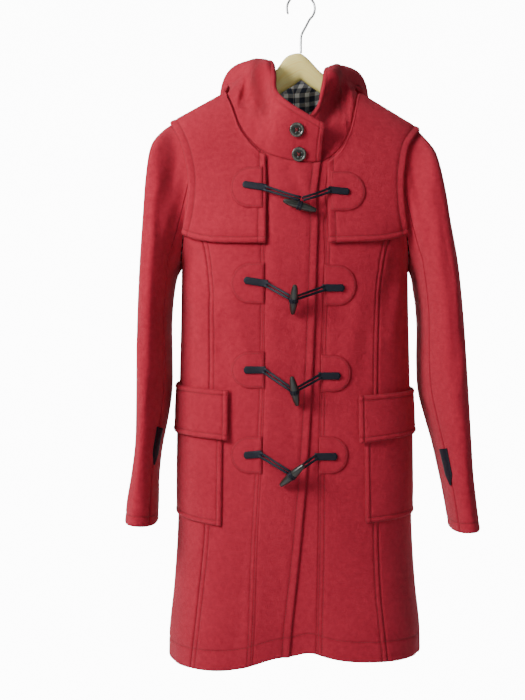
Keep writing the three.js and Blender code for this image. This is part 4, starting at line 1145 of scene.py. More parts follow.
for side in (-1, 1):
    made = make_yoke(
        "yoke_front_" + SIDES[side],
        front_yoke(side),
        side,
        lambda w: ladder(w, YOKE_SIDE, YOKE_SIDE, 6),
        [("low", 9), ("left", 12), ("right", 12)],
    )
    print(made.name, len(made.data.polygons), "faces")


# %% Back yoke
def back_yoke(u, t):
    s = 2 * u - 1
    low = row_at(COAT_X + s * 168, lerp(636, 652, s * s))
    level = lerp(low, YOKE_TOP, t)
    right = back_half(-1, yoke_lift)(np.abs(s), level)
    left = back_half(1, yoke_lift)(np.abs(s), level)
    return np.where((s < 0)[..., None], right, left) if np.ndim(s) else (right if s < 0 else left)


made = make_yoke(
    "yoke_back",
    lambda s, t: back_yoke(*np.broadcast_arrays(s, t)),
    -1,
    lambda w: ladder(w, YOKE_SIDE, YOKE_SIDE, 7),
    [("low", 9), ("left", 12), ("right", 12)],
)
print("back yoke", len(made.data.polygons), "faces")

# %% [markdown]
# ## Sleeves
# A two-piece sleeve is a bent tube: a wide top piece in front and outside, and a narrow under piece
# beside the body. Each ring of it is known by its outermost and innermost point, half its depth and
# how far it swings forward. The head of the tube blends into the armhole. An empty sleeve hangs flat,
# with a long soft hollow down its front and a few short creases at the elbow.

# %% Sleeve rings
SLEEVE = {
    -1: {
        "ring": list(range(13)),
        "out_x": [-191, -210, -222, -228, -231, -235, -238, -239, -239, -240, -246, -253, -256],
        "out_z": [829, 814, 789, 742, 690, 620, 545, 470, 400, 340, 290, 250, 216],
        "in_x": [-173, -179, -183, -185, -187, -189, -188, -188, -194, -203, -207, -207, -208],
        "in_z": [600, 594, 584, 566, 545, 508, 460, 412, 368, 322, 280, 244, 212],
        "half": [62, 68, 72, 75, 75, 73, 70, 67, 64, 61, 60, 60, 60],
        "swing": [0, 2, 5, 9, 13, 17, 20, 22, 20, 16, 10, 6, 4],
        "mid_y": [0, 0, 0, -1, -3, -6, -10, -15, -21, -27, -32, -35, -37],
    },
    1: {
        "ring": list(range(13)),
        "out_x": [199, 213, 225, 236, 243, 254, 261, 265, 268, 271, 274, 279, 284],
        "out_z": [816, 802, 780, 730, 680, 612, 535, 462, 400, 340, 290, 246, 206],
        "in_x": [181, 187, 191, 193, 196, 198, 197, 199, 209, 221, 230, 237, 243],
        "in_z": [600, 594, 584, 566, 545, 508, 460, 412, 368, 322, 280, 240, 202],
        "half": [62, 68, 72, 75, 75, 73, 70, 67, 64, 61, 60, 59, 58],
        "swing": [0, 2, 5, 9, 13, 17, 20, 22, 20, 16, 10, 6, 4],
        "mid_y": [0, 0, 0, -1, -3, -6, -10, -15, -21, -27, -32, -35, -37],
    },
}
ARMHOLE_CLEAR = 0.4
UNDER_SLEEVE = {"front": 128, "back": 236, "gap": 0.12}  # bearings of its two seams


def armhole_point(side, around):
    a = np.mod(around, 360.0)
    front = a <= 180
    share = np.where(front, a, 360 - a) / 180
    row = 1 + (RIDGE_ROW - 1) * np.maximum(np.cos(share * np.pi / 2), 0) ** 0.9
    place = on_coat(armhole_turn(side, row), np.where(front, row, 4 - row), np.zeros(np.shape(row)))
    place[..., 0] += side * ARMHOLE_CLEAR
    return place


def sleeve_form(side, around, along):
    around, along = np.broadcast_arrays(np.asarray(around, float), np.asarray(along, float))
    table = SLEEVE[side]
    ring = along * table["ring"][-1]
    column = {key: read(table, key, ring, "ring") for key in table if key != "ring"}
    out = np.stack([column["out_x"], column["mid_y"] - column["swing"], column["out_z"]], -1)
    inn = np.stack([column["in_x"], column["mid_y"] + column["swing"], column["in_z"]], -1)
    c, s = np.cos(np.radians(around)), np.sin(np.radians(around))
    place = (out + inn) / 2 + (out - inn) / 2 * (np.sign(c) * np.abs(c) ** 0.86)[..., None]
    place[..., 1] -= column["half"] * np.sign(s) * np.abs(s) ** 0.86
    seat = (1 - smooth(ring / 1.6))[..., None]
    return lerp(place, armhole_point(side, around), seat)


print("cuff of the right sleeve:", sleeve_form(-1, 0, 1).round(1).tolist())

# %% Sleeve creases: bearing and share along, from and to, width in each, depth
SLEEVE_FOLDS = [
    (38, 0.12, 52, 0.42, 9, 2.0),
    (62, 0.16, 66, 0.5, 10, -2.4),
    (84, 0.3, 78, 0.62, 10, 1.8),
    (30, 0.5, 70, 0.58, 7, -1.8),
    (34, 0.56, 76, 0.64, 7, 1.7),
    (50, 0.7, 60, 0.95, 9, -1.2),
    (-40, 0.15, -56, 0.5, 11, -2.4),
    (-70, 0.4, -60, 0.75, 10, 2.0),
    (-24, 0.5, -70, 0.58, 7, -1.6),
    (196, 0.3, 190, 0.7, 12, -2.0),
    (110, 0.02, 104, 0.14, 9, 1.6),
    (96, 0.03, 88, 0.16, 8, -1.8),
    (-100, 0.03, -92, 0.16, 8, -1.8),
]


SLEEVE_RUN = 300  # the sleeve's length, when a degree round it counts as one
LEFT_SHIFT = 7  # degrees, so that the two sleeves don't crease alike


def sleeve_crease(side, around, along):
    total = np.zeros(np.shape(around))
    for a0, t0, a1, t1, width, depth in SLEEVE_FOLDS:
        shift = 0 if side < 0 else LEFT_SHIFT
        bearing = np.mod(around - a0 - shift + 180, 360) - 180
        down = (along - t0) * SLEEVE_RUN
        run, climb = a1 - a0, (t1 - t0) * SLEEVE_RUN
        t = np.clip((bearing * run + down * climb) / (run * run + climb * climb), 0, 1)
        far = np.hypot(bearing - t * run, (down - t * climb) * 0.6)
        total = total + depth * np.exp(-((far / width) ** 2))
    return total * smooth(along * 14) * smooth((1 - along) * 14)


def on_sleeve(side, around, along, off=0.0):
    around, along = np.broadcast_arrays(np.asarray(around, float), np.asarray(along, float))
    across = sleeve_form(side, around + 2, along) - sleeve_form(side, around - 2, along)
    below = sleeve_form(side, around, np.minimum(1, along + 0.01))
    above = sleeve_form(side, around, np.maximum(0, along - 0.01))
    normal = unit(np.cross(across, below - above)) * side
    off = sleeve_crease(side, around, along) + off
    return sleeve_form(side, around, along) + normal * off[..., None]


CUFF = [0, 0.7, 1.6, 3, 6, 10, 13, 14.4, 15, 15.6, 18]


def make_sleeve(side, name, start, end):
    def shape(s, t):
        return on_sleeve(side, lerp(start, end, s), 1 - t)

    points, far, _ = spaced(
        shape, (0, 1), lambda w: ladder(w, EDGE, EDGE, 6), lambda h: ladder(h, CUFF, EDGE, 8)
    )
    stitches = [("low", 15)]
    rise, mark = relief(far, ("left", "right", "low"), stitches)
    made, outer, normals = cloth_wall(name + SIDES[side], points, far, -side, rise, mark, inside=lining)
    for line, at in stitches:
        track(outer, normals, far, line, at, 1, -1)
    print(made.name, len(made.data.polygons), "faces")


for side in (-1, 1):
    seam_in_front, seam_behind, seam_gap = UNDER_SLEEVE.values()
    make_sleeve(side, "sleeve_top_", seam_behind - 360 + seam_gap, seam_in_front - seam_gap)
    make_sleeve(side, "sleeve_under_", seam_in_front + seam_gap, seam_behind - seam_gap)

# %% [markdown]
# ## Hood
# The hood is sewn into the neckline and worn down: it stands round the neck, its rim rolls outward at
# the sides and its pouch falls behind. Nine profiles, from the neckline's seam to the rim, give its
# right half, and the cloth between them follows a smooth curve. The left half passes behind the right
# one at the throat. Its rim is a stitched band that shows a red facing, and the check shows inside.

# %% Profiles of the hood
HOOD = [  # x where it stands on the neckline, whether behind, its places from the seam to the rim
    (46, False, [[46, -62, 780], [50, -78, 815]]),
    (0, False, [[0, -60, 765], [-2, -73, 812], [-4, -74, 849]]),
    (-30, False, [[-30, -58, 771], [-28, -66, 820], [-24, -60, 870]]),
    (
        -55,
        False,
        [
            [-55, -48, 789], [-54, -48, 826], [-51, -32, 858],
            [-44, -36, 880], [-33, -51, 891], [-25, -48, 896],
        ],
    ),
    (
        -84,
        False,
        [
            [-84, -24, 830], [-80, -23, 852], [-74, -16, 874], [-67, -15, 893],
            [-57, -35, 909], [-40, -39, 919], [-27, -28, 920],
        ],
    ),
    (
        -101,
        False,
        [
            [-101, 2, 880], [-88, 0, 894], [-78, 4, 908],
            [-76, 10, 926], [-58, 14, 939], [-33, 10, 932],
        ],
    ),
    (
        -85,
        True,
        [
            [-85, 22, 874], [-88, 29, 894], [-101, 43, 897],
            [-117, 58, 870], [-108, 66, 912], [-48, 48, 934],
        ],
    ),
    (
        -50,
        True,
        [
            [-50, 32, 862], [-52, 37, 890], [-57, 50, 909], [-72, 70, 876], [-85, 88, 764],
            [-82, 108, 706], [-84, 130, 762], [-75, 120, 860], [-45, 92, 912],
        ],
    ),
    (
        4,
        True,
        [
            [4, 36, 857], [4, 40, 892], [4, 54, 918], [4, 76, 880], [4, 92, 746],
            [4, 112, 655], [4, 142, 720], [4, 142, 830], [4, 112, 897],
        ],
    ),
]
HOOD_LEFT = {"rim_out": 12, "rim_down": 12, "throat_down": 14, "behind": 10}
HOOD_GAP = -1.2  # the foot overlaps the body's top edge
HOOD_MEET = {"from": 7.6, "over": 0.4, "past": 0.35}  # the halves meet behind


def walker(path):
    """An even walk along a smooth (centripetal Catmull-Rom) curve through points."""
    p = np.array(path, float)
    p = np.vstack([2 * p[0] - p[1], p, 2 * p[-1] - p[-2]])
    pieces = []
    for a, b, c, d in zip(p[:-3], p[1:-2], p[2:-1], p[3:]):
        u, v, w = (max(np.linalg.norm(k), 1e-6) ** 0.5 for k in (b - a, c - b, d - c))
        m1 = ((b - a) / u - (c - a) / (u + v) + (c - b) / v) * v
        m2 = ((c - b) / v - (d - b) / (v + w) + (d - c) / w) * v
        t = np.linspace(0, 1, 40)[:-1, None]
        pieces.append(hermite(b, m1, c, m2, t))
    line = np.vstack([*pieces, p[-2]])
    far = np.concatenate([[0], np.cumsum(np.linalg.norm(np.diff(line, axis=0), axis=1))])

    def walk(share):
        at = np.clip(share, 0, 1) * far[-1]
        return np.stack([np.interp(at, far, line[:, k]) for k in range(3)], -1)

    return walk


HOOD_PATHS = [walker(path) for _, _, path in HOOD]
print("rim behind:", HOOD_PATHS[-1](1.0).round(1).tolist())


# %% The neckline that the hood is sewn to
def neckline(side, count=90):
    shares = np.linspace(0, 1, count)
    two = np.full(count, 2.0)
    start, end = opening_turn(side, 2.0), armhole_turn(side, np.array(2.0))
    turn = lerp(start, end, front_spread(side)(shares, two))
    row = top_row(turn, False)
    keep = np.abs(bare_form(turn, two)[..., 0]) <= SHOULDER["neck_half"] + 1
    turns, rows = [turn[keep]], [row[keep]]
    turn = lerp(side * 0.06, float(end), shares[::-1])
    row = 4 - top_row(turn, True)
    keep = np.abs(bare_form(turn, two)[..., 0]) < SHOULDER["neck_half"]
    return np.concatenate([turns[0], turn[keep]]), np.concatenate([rows[0], row[keep]])


def hood_places(side, x, row):
    """Which profile each place of the neckline stands at."""
    x = np.where(side < 0, x, 2 * COAT_X - x)
    front = np.array([entry[0] for entry in HOOD[:6]], float)
    behind = np.array([entry[0] for entry in HOOD[6:]], float)
    at_front = np.interp(-x, -front, np.arange(6))
    at_back = np.interp(x, np.concatenate([[-102.0], behind]), [5.6, 6, 7, 8])
    return np.where(row > 2, at_back, at_front)


def hood_half(side):
    turn, row = neckline(side)
    x = bare_form(turn, row)[..., 0]
    z = height_at(x, np.where(row > 2, 4 - row, row))
    place = np.maximum.accumulate(hood_places(side, x, row))
    lap = lap_lift(x, z) * (row < 2) if side < 0 else np.zeros(x.shape)
    edge = on_coat(turn, row, lap)
    up = unit(np.cross(np.gradient(edge, axis=0), outward(form, turn, row)))
    feet = edge - side * HOOD_GAP * up
    walked = np.concatenate([[0], np.cumsum(np.linalg.norm(np.diff(feet, axis=0), axis=1))])
    walked /= walked[-1]

    def along_paths(at, v):
        k = np.clip(np.floor(at).astype(int), 0, len(HOOD) - 2)
        t = (at - k)[..., None]
        known = np.stack([path(v) for path in HOOD_PATHS])  # profiles x grid x 3
        pick = [
            np.take_along_axis(known, np.clip(k + i, 0, len(HOOD) - 1)[None, ..., None], 0)[0]
            for i in (-1, 0, 1, 2)
        ]
        m1, m2 = (pick[2] - pick[0]) / 2, (pick[3] - pick[1]) / 2
        p = (
            pick[1]
            + m1 * t
            + (3 * (pick[2] - pick[1]) - 2 * m1 - m2) * t**2
            + (2 * (pick[1] - pick[2]) + m1 + m2) * t**3
        )
        if side > 0:
            under = 1 - smooth((at - 1.2) / 2.4)
            front = 1 - smooth((at - 5) / 3)
            p[..., 0] = 2 * COAT_X - p[..., 0] + HOOD_LEFT["rim_out"] * v * v * front * (1 - under)
            p[..., 1] += HOOD_LEFT["behind"] * smooth(v * 8) * under
            p[..., 2] -= (HOOD_LEFT["rim_down"] * front + HOOD_LEFT["throat_down"] * under) * v
        return p

    def shape(s, v):
        s, v = np.broadcast_arrays(np.asarray(s, float), np.asarray(v, float))
        at = np.interp(s, walked, place)
        seam = np.stack([np.interp(s, walked, feet[:, k]) for k in range(3)], -1)
        foot = along_paths(at, np.zeros(v.shape))
        spot = along_paths(at, v) + (seam - foot) * (1 - smooth(v * 2.2))[..., None]
        meet = smooth((at - HOOD_MEET["from"]) / HOOD_MEET["over"])
        spot[..., 0] -= side * HOOD_MEET["past"] * meet
        return spot

    return shape


print("neckline places:", [len(neckline(side)[0]) for side in (-1, 1)])

# %% Cut the hood
RIM = [0, 0.7, 1.6, 3, 5, 7, 8.4, 9, 9.6, 11, 13]
HOLLOW = {"from": 95, "in": 25, "to": 215, "out": 30}  # along the foot, where the roll hangs over it
FACING = {"beside": 64, "in_front_of": 80}  # from the middle and from the hook, in mm


def make_hood(side):
    points, far, _ = spaced(
        hood_half(side),
        (0, 1),
        lambda w: ladder(w, [*EDGE, *TOPSTITCH], EDGE, 5),
        lambda h: ladder(h, EDGE, RIM, 5),
    )
    stitches = [("top", 9), ("left", 8), ("left", 3)] if side < 0 else [("top", 9)]
    rise, mark = relief(far, ALL_ROUND, stitches)
    # short gathers run up from the neck's seam, and the rim's band is full
    gathers = 1.5 * np.sin(far["left"] / 6.1 + 1.3 * side) * np.sin(far["left"] / 15.7)
    gathers = gathers * bump_at(far["low"], 34, 1.0, 22)
    rise = rise + gathers * smooth((far["left"] - 60) / 30) + bump_at(far["top"], 4.5, 0.9, 3.0)
    # narrow folds hang in the hollow under the roll, and the hollow gets painted shade through the seam
    # attribute
    start = smooth((far["left"] - HOLLOW["from"]) / HOLLOW["in"])
    hollow = start * (1 - smooth((far["left"] - HOLLOW["to"]) / HOLLOW["out"]))
    rise = rise + 1.5 * np.sin(far["left"] / 4.4) * bump_at(far["top"], 56, 1.0, 20.0) * hollow
    mark = np.maximum(mark, hollow * bump_at(far["top"], 50, 1.0, 15))
    name = "hood_" + SIDES[side]
    made, outer, normals = cloth_wall(name, points, far, side, rise, mark, inside=lining)
    for line, at in stitches:
        track(outer, normals, far, line, at, 1, -1)
    # beside the neck the inside is faced with the coat's own wool
    for face in made.data.polygons:
        at = np.array(face.center) / MM + ORIGIN
        beside = abs(at[0] - COAT_X) > FACING["beside"]
        if face.material_index == 1 and beside and at[1] < FACING["in_front_of"]:
            face.material_index = 0
    print(made.name, len(made.data.polygons), "faces")
    return outer, normals


HOOD_FACES = {side: make_hood(side) for side in (-1, 1)}

# %% [markdown]
# ## Pockets and flaps
# Patch pockets wrap round the coat's sides, and each has a flap that hangs free over it. They lie on
# the same form, one cloth thickness further out each time, and are stitched 8 mm in from their edges.

# %% Pockets and flaps
POCKETS = {
    -1: {"turn": (-37.5, -98), "low": (213, 229), "top": (398, 408)},
    1: {"turn": (34.5, 98), "low": (218, 229), "top": (390, 400)},
}
FLAPS = {
    -1: {"turn": (-34, -99), "low": (341, 355), "top": (416, 428)},
    1: {"turn": (31, 99), "low": (337, 354), "top": (408, 420)},
}
FLAP_OPEN = 2.2


def wrapped(table, lift):
    def shape(s, t):
        s, t = np.broadcast_arrays(np.asarray(s, float), np.asarray(t, float))
        turn = lerp(*table["turn"], s)
        z = lerp(lerp(*table["low"], s), lerp(*table["top"], s), t)
        return on_coat(turn, z / CHEST_Z, lift(t) + CLOTH)

    return shape


def make_wrapped(name, side, shape, stitches):
    steps_in = lambda length: ladder(length, [*EDGE, *TOPSTITCH], [*EDGE, *TOPSTITCH], 6)
    points, far, _ = spaced(shape, (0, 1), steps_in, steps_in)
    rise, mark = relief(far, ALL_ROUND, stitches, puff=0.8)
    # the cloth between the seams is a little full
    rise = rise + 0.7 * smooth((to_edge(far) - 10) / 30)
    made, outer, normals = cloth_wall(name + SIDES[side], points, far, side, rise, mark, tuck=0.6)
    for line, at in stitches:
        track(outer, normals, far, line, at, 7, -7)
    print(made.name, len(made.data.polygons), "faces")


for side in (-1, 1):
    sewn = [("left", 8), ("low", 8), ("right", 8)]
    pocket = wrapped(POCKETS[side], lambda t: LAYER_GAP + 0 * t)
    flap = wrapped(FLAPS[side], lambda t: LAP + LAYER_GAP + FLAP_OPEN * (1 - t) ** 2)
    make_wrapped("pocket_", side, pocket, sewn)
    make_wrapped("flap_", side, flap, [*sewn, ("top", 8)])

# %% [markdown]
# ## Horseshoe patches
# Each strap is held by a thin horseshoe of the same wool, stitched down all round, so flat that it
# shows mostly as its row of stitches. The grid closes from a straight side to a round one, and its
# last column is short but not a point, so that the wall stays sound.

# %% Horseshoes
PATCHES = {  # side, x of the straight edge, x of the round end, middle height, half height
    "right_1": (-1, -45, -95, 722, 32),
    "right_2": (-1, -43, -94, 577, 31),
    "right_3": (-1, -43, -94, 447, 28),
    "right_4": (-1, -47, -94, 320, 28),
    "left_1": (1, 56, 109, 716, 31),
    "left_2": (1, 46, 95, 574, 31),
    "left_3": (1, 41, 87, 442, 28),
    "left_4": (1, 38, 82, 320, 28),
}
PATCH = {"thick": 1.4, "clear": 1.0, "straight": 0.42, "inset": 3.2}  # straight is a share


def front_point(x, z, off):
    return on_coat(turn_at(x, z), row_at(x, z), off)


def front_top(side, x, z):
    """How far out the topmost layer of the front lies at x, z."""
    yoke = np.where(z > YOKES[side]["low_inner"], yoke_lift(x, z), 0)
    return yoke + (lap_lift(x, z) if side < 0 else 0)


def make_patch(name):
    side, seam_x, end_x, middle_z, half = PATCHES[name]
    rows, columns = 30, 30
    s = np.sin(np.linspace(0, np.pi / 2, columns)) * 0.9985
    t = (1 - np.cos(np.linspace(0, np.pi, rows))) / 2
    S, T = np.meshgrid(s, t)
    bend = np.maximum(0, (S - PATCH["straight"]) / (1 - PATCH["straight"]))
    height = half * np.sqrt(1 - bend**2)
    x, z = lerp(seam_x, end_x, S), middle_z + height * (2 * T - 1)
    # distance to the outline: straight sides, then a half ellipse
    long_half = abs(end_x - seam_x) * (1 - PATCH["straight"])
    out_x = np.maximum(0, abs(end_x - seam_x) * (S - PATCH["straight"]))
    reach = np.hypot(out_x / long_half, (z - middle_z) / half)
    slope = np.hypot(out_x / long_half**2, (z - middle_z) / half**2) / np.maximum(reach, 1e-6)
    edge = (1 - reach) / np.maximum(slope, 1 / half)
    edge = np.minimum(edge, np.abs(x - seam_x))
    off = front_top(side, x, z) + PATCH["clear"] + PATCH["thick"]
    points = front_point(x, z, off)
    far = {"left": np.abs(x - seam_x), "right": edge, "low": z - z.min() + 10, "top": z.max() - z + 10}
    inset = PATCH["inset"]  # of the row of stitches from the outline
    rise = bump_at(edge, 0, -1.5, 1.5) + bump_at(edge, inset, -0.55, 0.9)
    # painted shade, with some lint, along the outline and the row of stitches
    mark = np.maximum(bump_at(edge, 0, 0.75, 1.8), bump_at(edge, inset, 0.55, 1.1))
    made, _, _ = cloth_wall(
        "patch_" + name, points, far, side, rise, mark, thick=PATCH["thick"] + 0.4, tuck=0
    )
    bow = np.linspace(-np.pi / 2, np.pi / 2, 30)
    towards = 1 if end_x > seam_x else -1
    start = seam_x + towards * abs(end_x - seam_x) * PATCH["straight"]
    corner_x, low, high = seam_x + towards * inset, middle_z - half + inset, middle_z + half - inset
    line_x = [[corner_x], start + towards * (long_half - inset) * np.cos(bow), [corner_x]]
    line_z = [[low], middle_z + (half - inset) * np.sin(bow), [high]]
    line_x, line_z = np.concatenate(line_x), np.concatenate(line_z)
    line_x, line_z = np.append(line_x, line_x[0]), np.append(line_z, line_z[0])
    off = front_top(side, line_x, line_z) + PATCH["clear"] + PATCH["thick"] - 0.5
    directions = outward(form, turn_at(line_x, line_z), row_at(line_x, line_z))
    TRACKS.append((front_point(line_x, line_z, off), directions))
    return made


for name in PATCHES:
    make_patch(name)
print("horseshoes:", len(PATCHES))

# %% [markdown]
# ## Toggles and their straps
# A horn toggle is a turned peg, thick in the middle and blunt at its tips. A leather strap lies flat
# on each horseshoe, and from there a doubled lace runs free to the toggle. Both straps take one turn
# round its waist, side by side. They are lofts, rings of points set along a line.

# %% Lofts: rings along a line
def loft(name, rings, finishes):
    """A closed round or flat bar through rings (count x sides x 3), with a flat cap at each end."""
    rings = np.asarray(rings, float)
    count, sides = rings.shape[:2]
    walked = np.concatenate([[0], np.cumsum(np.linalg.norm(np.diff(rings.mean(1), axis=0), axis=1))])
    round_way = np.linspace(0, 1, sides, endpoint=False)
    girth = float(np.linalg.norm(np.roll(rings, -1, 1) - rings, axis=-1).sum(1).max())
    points = np.concatenate([rings.reshape(-1, 3), rings[0].mean(0)[None], rings[-1].mean(0)[None]])
    grid = np.arange(count * sides).reshape(count, sides)
    nxt = np.roll(grid, -1, 1)
    faces = np.stack([grid[:-1], nxt[:-1], nxt[1:], grid[1:]], -1).reshape(-1, 4).tolist()
    low, high = count * sides, count * sides + 1
    faces += [(nxt[0, k], grid[0, k], low) for k in range(sides)]
    faces += [(grid[-1, k], nxt[-1, k], high) for k in range(sides)]
    u = np.broadcast_to(np.abs(round_way - 0.5) * girth, (count, sides))
    v = np.broadcast_to(walked[:, None], (count, sides))
    uv = np.concatenate([np.stack([u, v], -1).reshape(-1, 2), [[0, 0], [0, walked[-1]]]])
    return mesh_object(name, points, faces, finishes, uv=uv)


def ring(at, u, v, radius, sides, flat=1.0, power=1.0):
    a = np.linspace(0, 2 * np.pi, sides, endpoint=False)
    c, s = np.cos(a), np.sin(a)
    c, s = np.sign(c) * np.abs(c) ** power, np.sign(s) * np.abs(s) ** power
    return at + radius * (c[:, None] * u + flat * s[:, None] * v)


TOGGLE = {"length": 52, "radius": 6.2, "tip": 2.4, "waist": 0.1}
FASTENINGS = [  # each strap's start, end of its tab and end in x z, the toggle's ends in x z and off
    {
        "right": [(-76, 726), (-40, 720), (10, 700)],
        "left": [(84, 714), (52, 717), (14, 699)],
        "toggle": (-15.6, 698, 17, 34, 683, 15),
    },
    {
        "right": [(-74, 582), (-38, 576), (3, 550)],
        "left": [(76, 570), (43, 570), (0, 553)],
        "toggle": (1, 571, 36, -1, 533, 9),
    },
    {
        "right": [(-74, 447), (-41, 447), (1, 414)],
        "left": [(70, 438), (37, 438), (1, 416)],
        "toggle": (-3, 434, 34, 5, 396, 9),
    },
    {
        "right": [(-74, 319.5), (-47, 322), (-4, 294)],
        "left": [(65, 318), (31, 318), (0, 296)],
        "toggle": (12, 305, 28, -17, 278, 10),
    },
]


def toggle_radius(t):
    return lerp(TOGGLE["tip"], TOGGLE["radius"], np.abs(np.sin(np.pi * t)) ** 0.7)


def toggle_line(toggle):
    x0, z0, off0, x1, z1, off1 = toggle
    a, b = front_point(x0, z0, off0), front_point(x1, z1, off1)
    axis = unit(b - a)
    return (a + b) / 2, axis


def make_toggle(number, toggle):
    middle, axis = toggle_line(toggle)
    u = unit(np.array([0, -1.0, 0]) + axis * axis[1])
    v = np.cross(axis, u)
    shares = (1 - np.cos(np.linspace(0.05, np.pi - 0.05, 44))) / 2
    rings = []
    for t in shares:
        end = min(t, 1 - t)
        blunt = min(1.0, math.sqrt(end / 0.012) * 0.9)
        knock = 1 + 0.02 * math.sin(9 * t + number)
        waist = 1 - TOGGLE["waist"] * math.exp(-(((t - 0.5) / 0.05) ** 2))
        at = middle + axis * (t - 0.5) * TOGGLE["length"]
        rings.append(ring(at, u, v, toggle_radius(t) * blunt * knock * waist, 28))
    return loft(f"toggle_{number}", rings, [horn])


for number, fastening in enumerate(FASTENINGS, 1):
    make_toggle(number, fastening["toggle"])
print("toggles:", len(FASTENINGS))


# %% Straps: a flat tab on the horseshoe, then two laces to the toggle and one turn round it
STRAP = {"width": 11, "thick": 2.2, "clear": 0.8}
LACE = {"width": 3.6, "thick": 2.0}
TURN = {"width": 3.4, "thick": 1.8, "aside": 1.9, "sunk": 0.2}


def smooth_line(points, count):
    walk = walker(points)
    return walk(np.linspace(0, 1, count))


def strap_ring(at, along, normal, width, thick):
    sideways = unit(np.cross(along, normal))
    up = unit(np.cross(sideways, along))
    a = np.linspace(0, 2 * np.pi, 16, endpoint=False)
    c, s = np.cos(a), np.sin(a)
    c, s = np.sign(c) * np.abs(c) ** 0.5, np.sign(s) * np.abs(s) ** 0.7
    return at + up * thick / 2 + sideways * (width / 2 * c)[:, None] + up * (thick / 2 * s)[:, None]


def strap_mesh(line, normals, widths, thick):
    along = np.gradient(line, axis=0)
    return [strap_ring(p, a, n, w, thick) for p, a, n, w in zip(line, along, normals, widths)]


def join(name, parts):
    """One object from several, with the first one's data layers."""
    bpy.ops.object.select_all(action="DESELECT")
    for key in [key for key, piece in PIECES.items() if piece in parts]:
        PIECES.pop(key).select_set(True)
    bpy.context.view_layer.objects.active = parts[0]
    bpy.ops.object.join()
    parts[0].name = parts[0].data.name = name + "_piece"
    PIECES[name] = parts[0]
    return parts[0]


def make_strap(number, which, side, path, toggle):
    (x0, z0), (x1, z1), (x2, z2) = path
    flat = lambda x, z: front_top(side, x, z) + PATCH["clear"] + PATCH["thick"] + STRAP["clear"]
    t = np.linspace(0, 1, 14)
    x, z = lerp(x0, x1, t), lerp(z0, z1, t)
    line = front_point(x, z, flat(x, z) - 0.3)
    normals = outward(form, turn_at(x, z), row_at(x, z))
    widths = STRAP["width"] * np.clip(np.sqrt(t / 0.05 + 0.15), 0, 1)
    rings = strap_mesh(line, normals, widths, STRAP["thick"])
    tab = loft(f"tab_{which}_{number}", rings, [leather])
    middle, axis = toggle_line(toggle)
    out = np.array([0, -1.0, 0])
    end_off = (toggle[2] + toggle[5] - STRAP["thick"]) / 2
    parts = [tab]
    for lace in (-1, 1):
        t = np.linspace(0, 1, 80)
        x, z = lerp(x1 - 4 * np.sign(x1 - x0), x2, t), lerp(z1, z2, t)
        off = lerp(float(flat(x1, z1)) + 0.4, end_off, smooth(t * 1.1))
        base = front_point(x, z, off)
        apart = lace * lerp(2.7, 2.1, t)
        lift = np.cross(unit(np.gradient(base, axis=0)), out)
        line = base + unit(lift) * apart[:, None]
        # it ends against the toggle's waist, on its own side
        gap = line - middle
        radial = gap - (gap @ axis)[:, None] * axis
        inside = np.linalg.norm(radial, axis=1) < toggle_radius(0.5) - 0.4
        line = smooth_line(line[~np.maximum.accumulate(inside)], 14)
        rings = strap_mesh(line, np.tile(out, (14, 1)), np.full(14, LACE["width"]), LACE["thick"])
        parts.append(loft(f"lace_{which}_{number}_{lace}", rings, [leather]))
    # and takes one turn round the toggle, next to the other strap's
    u = unit(out + axis * axis[1])
    a = np.linspace(0, 1.99 * np.pi, 44)[:, None]
    radial = np.cos(a) * u + np.sin(a) * np.cross(axis, u)
    waist = (1 - TOGGLE["waist"]) * toggle_radius(0.5)
    turn = middle - TURN["aside"] * side * axis + radial * (waist - TURN["sunk"])
    rings = strap_mesh(turn, radial, np.full(44, TURN["width"]), TURN["thick"])
    parts.append(loft(f"turn_{which}_{number}", rings, [leather]))
    return join(f"strap_{which}_{number}", parts)


for number, fastening in enumerate(FASTENINGS, 1):
    make_strap(number, "right", -1, fastening["right"], fastening["toggle"])
    make_strap(number, "left", 1, fastening["left"], fastening["toggle"])
print("straps:", sum(name.startswith("strap") for name in PIECES))

# %% [markdown]
# ## Buttons, cuff tabs, hanger and hook
# The throat buttons are horn discs with a raised rim and four holes, sewn on with crossed thread. The
# hanger is a shaped bar of pale wood under a dome, with a wire hook. Both are lofts as well, and the
# holes are real ones, cut through the button's grid with a Boolean modifier before its place is set.

# %% Throat buttons
BUTTONS = {"upper": (8.4, 808), "lower": (6.9, 774)}
BUTTON_PROFILE = [  # height over the cloth and radius, from the back's edge to the middle in front
    (0.7, 4), (0.7, 8.4), (1.3, 10.4), (2.2, 11), (3.0, 10.9), (3.7, 10.2),
    (3.95, 9.2), (3.7, 8.4), (3.1, 7.6), (2.9, 6.4), (2.9, 1.2),
]
HIGHLIGHT_RING = {"above": 0.003, "radius": (0.0078, 0.0100)}  # metres
HOLE_AT = 2.7  # from the button's middle


def nearest_on_hood(x, z):
    outer, normals = HOOD_FACES[-1]
    columns = outer.shape[1] // 3
    far = np.hypot(outer[:, :columns, 0] - x, outer[:, :columns, 2] - z)
    j, i = np.unravel_index(np.argmin(far), far.shape)
    return outer[j, i], normals[j, i]


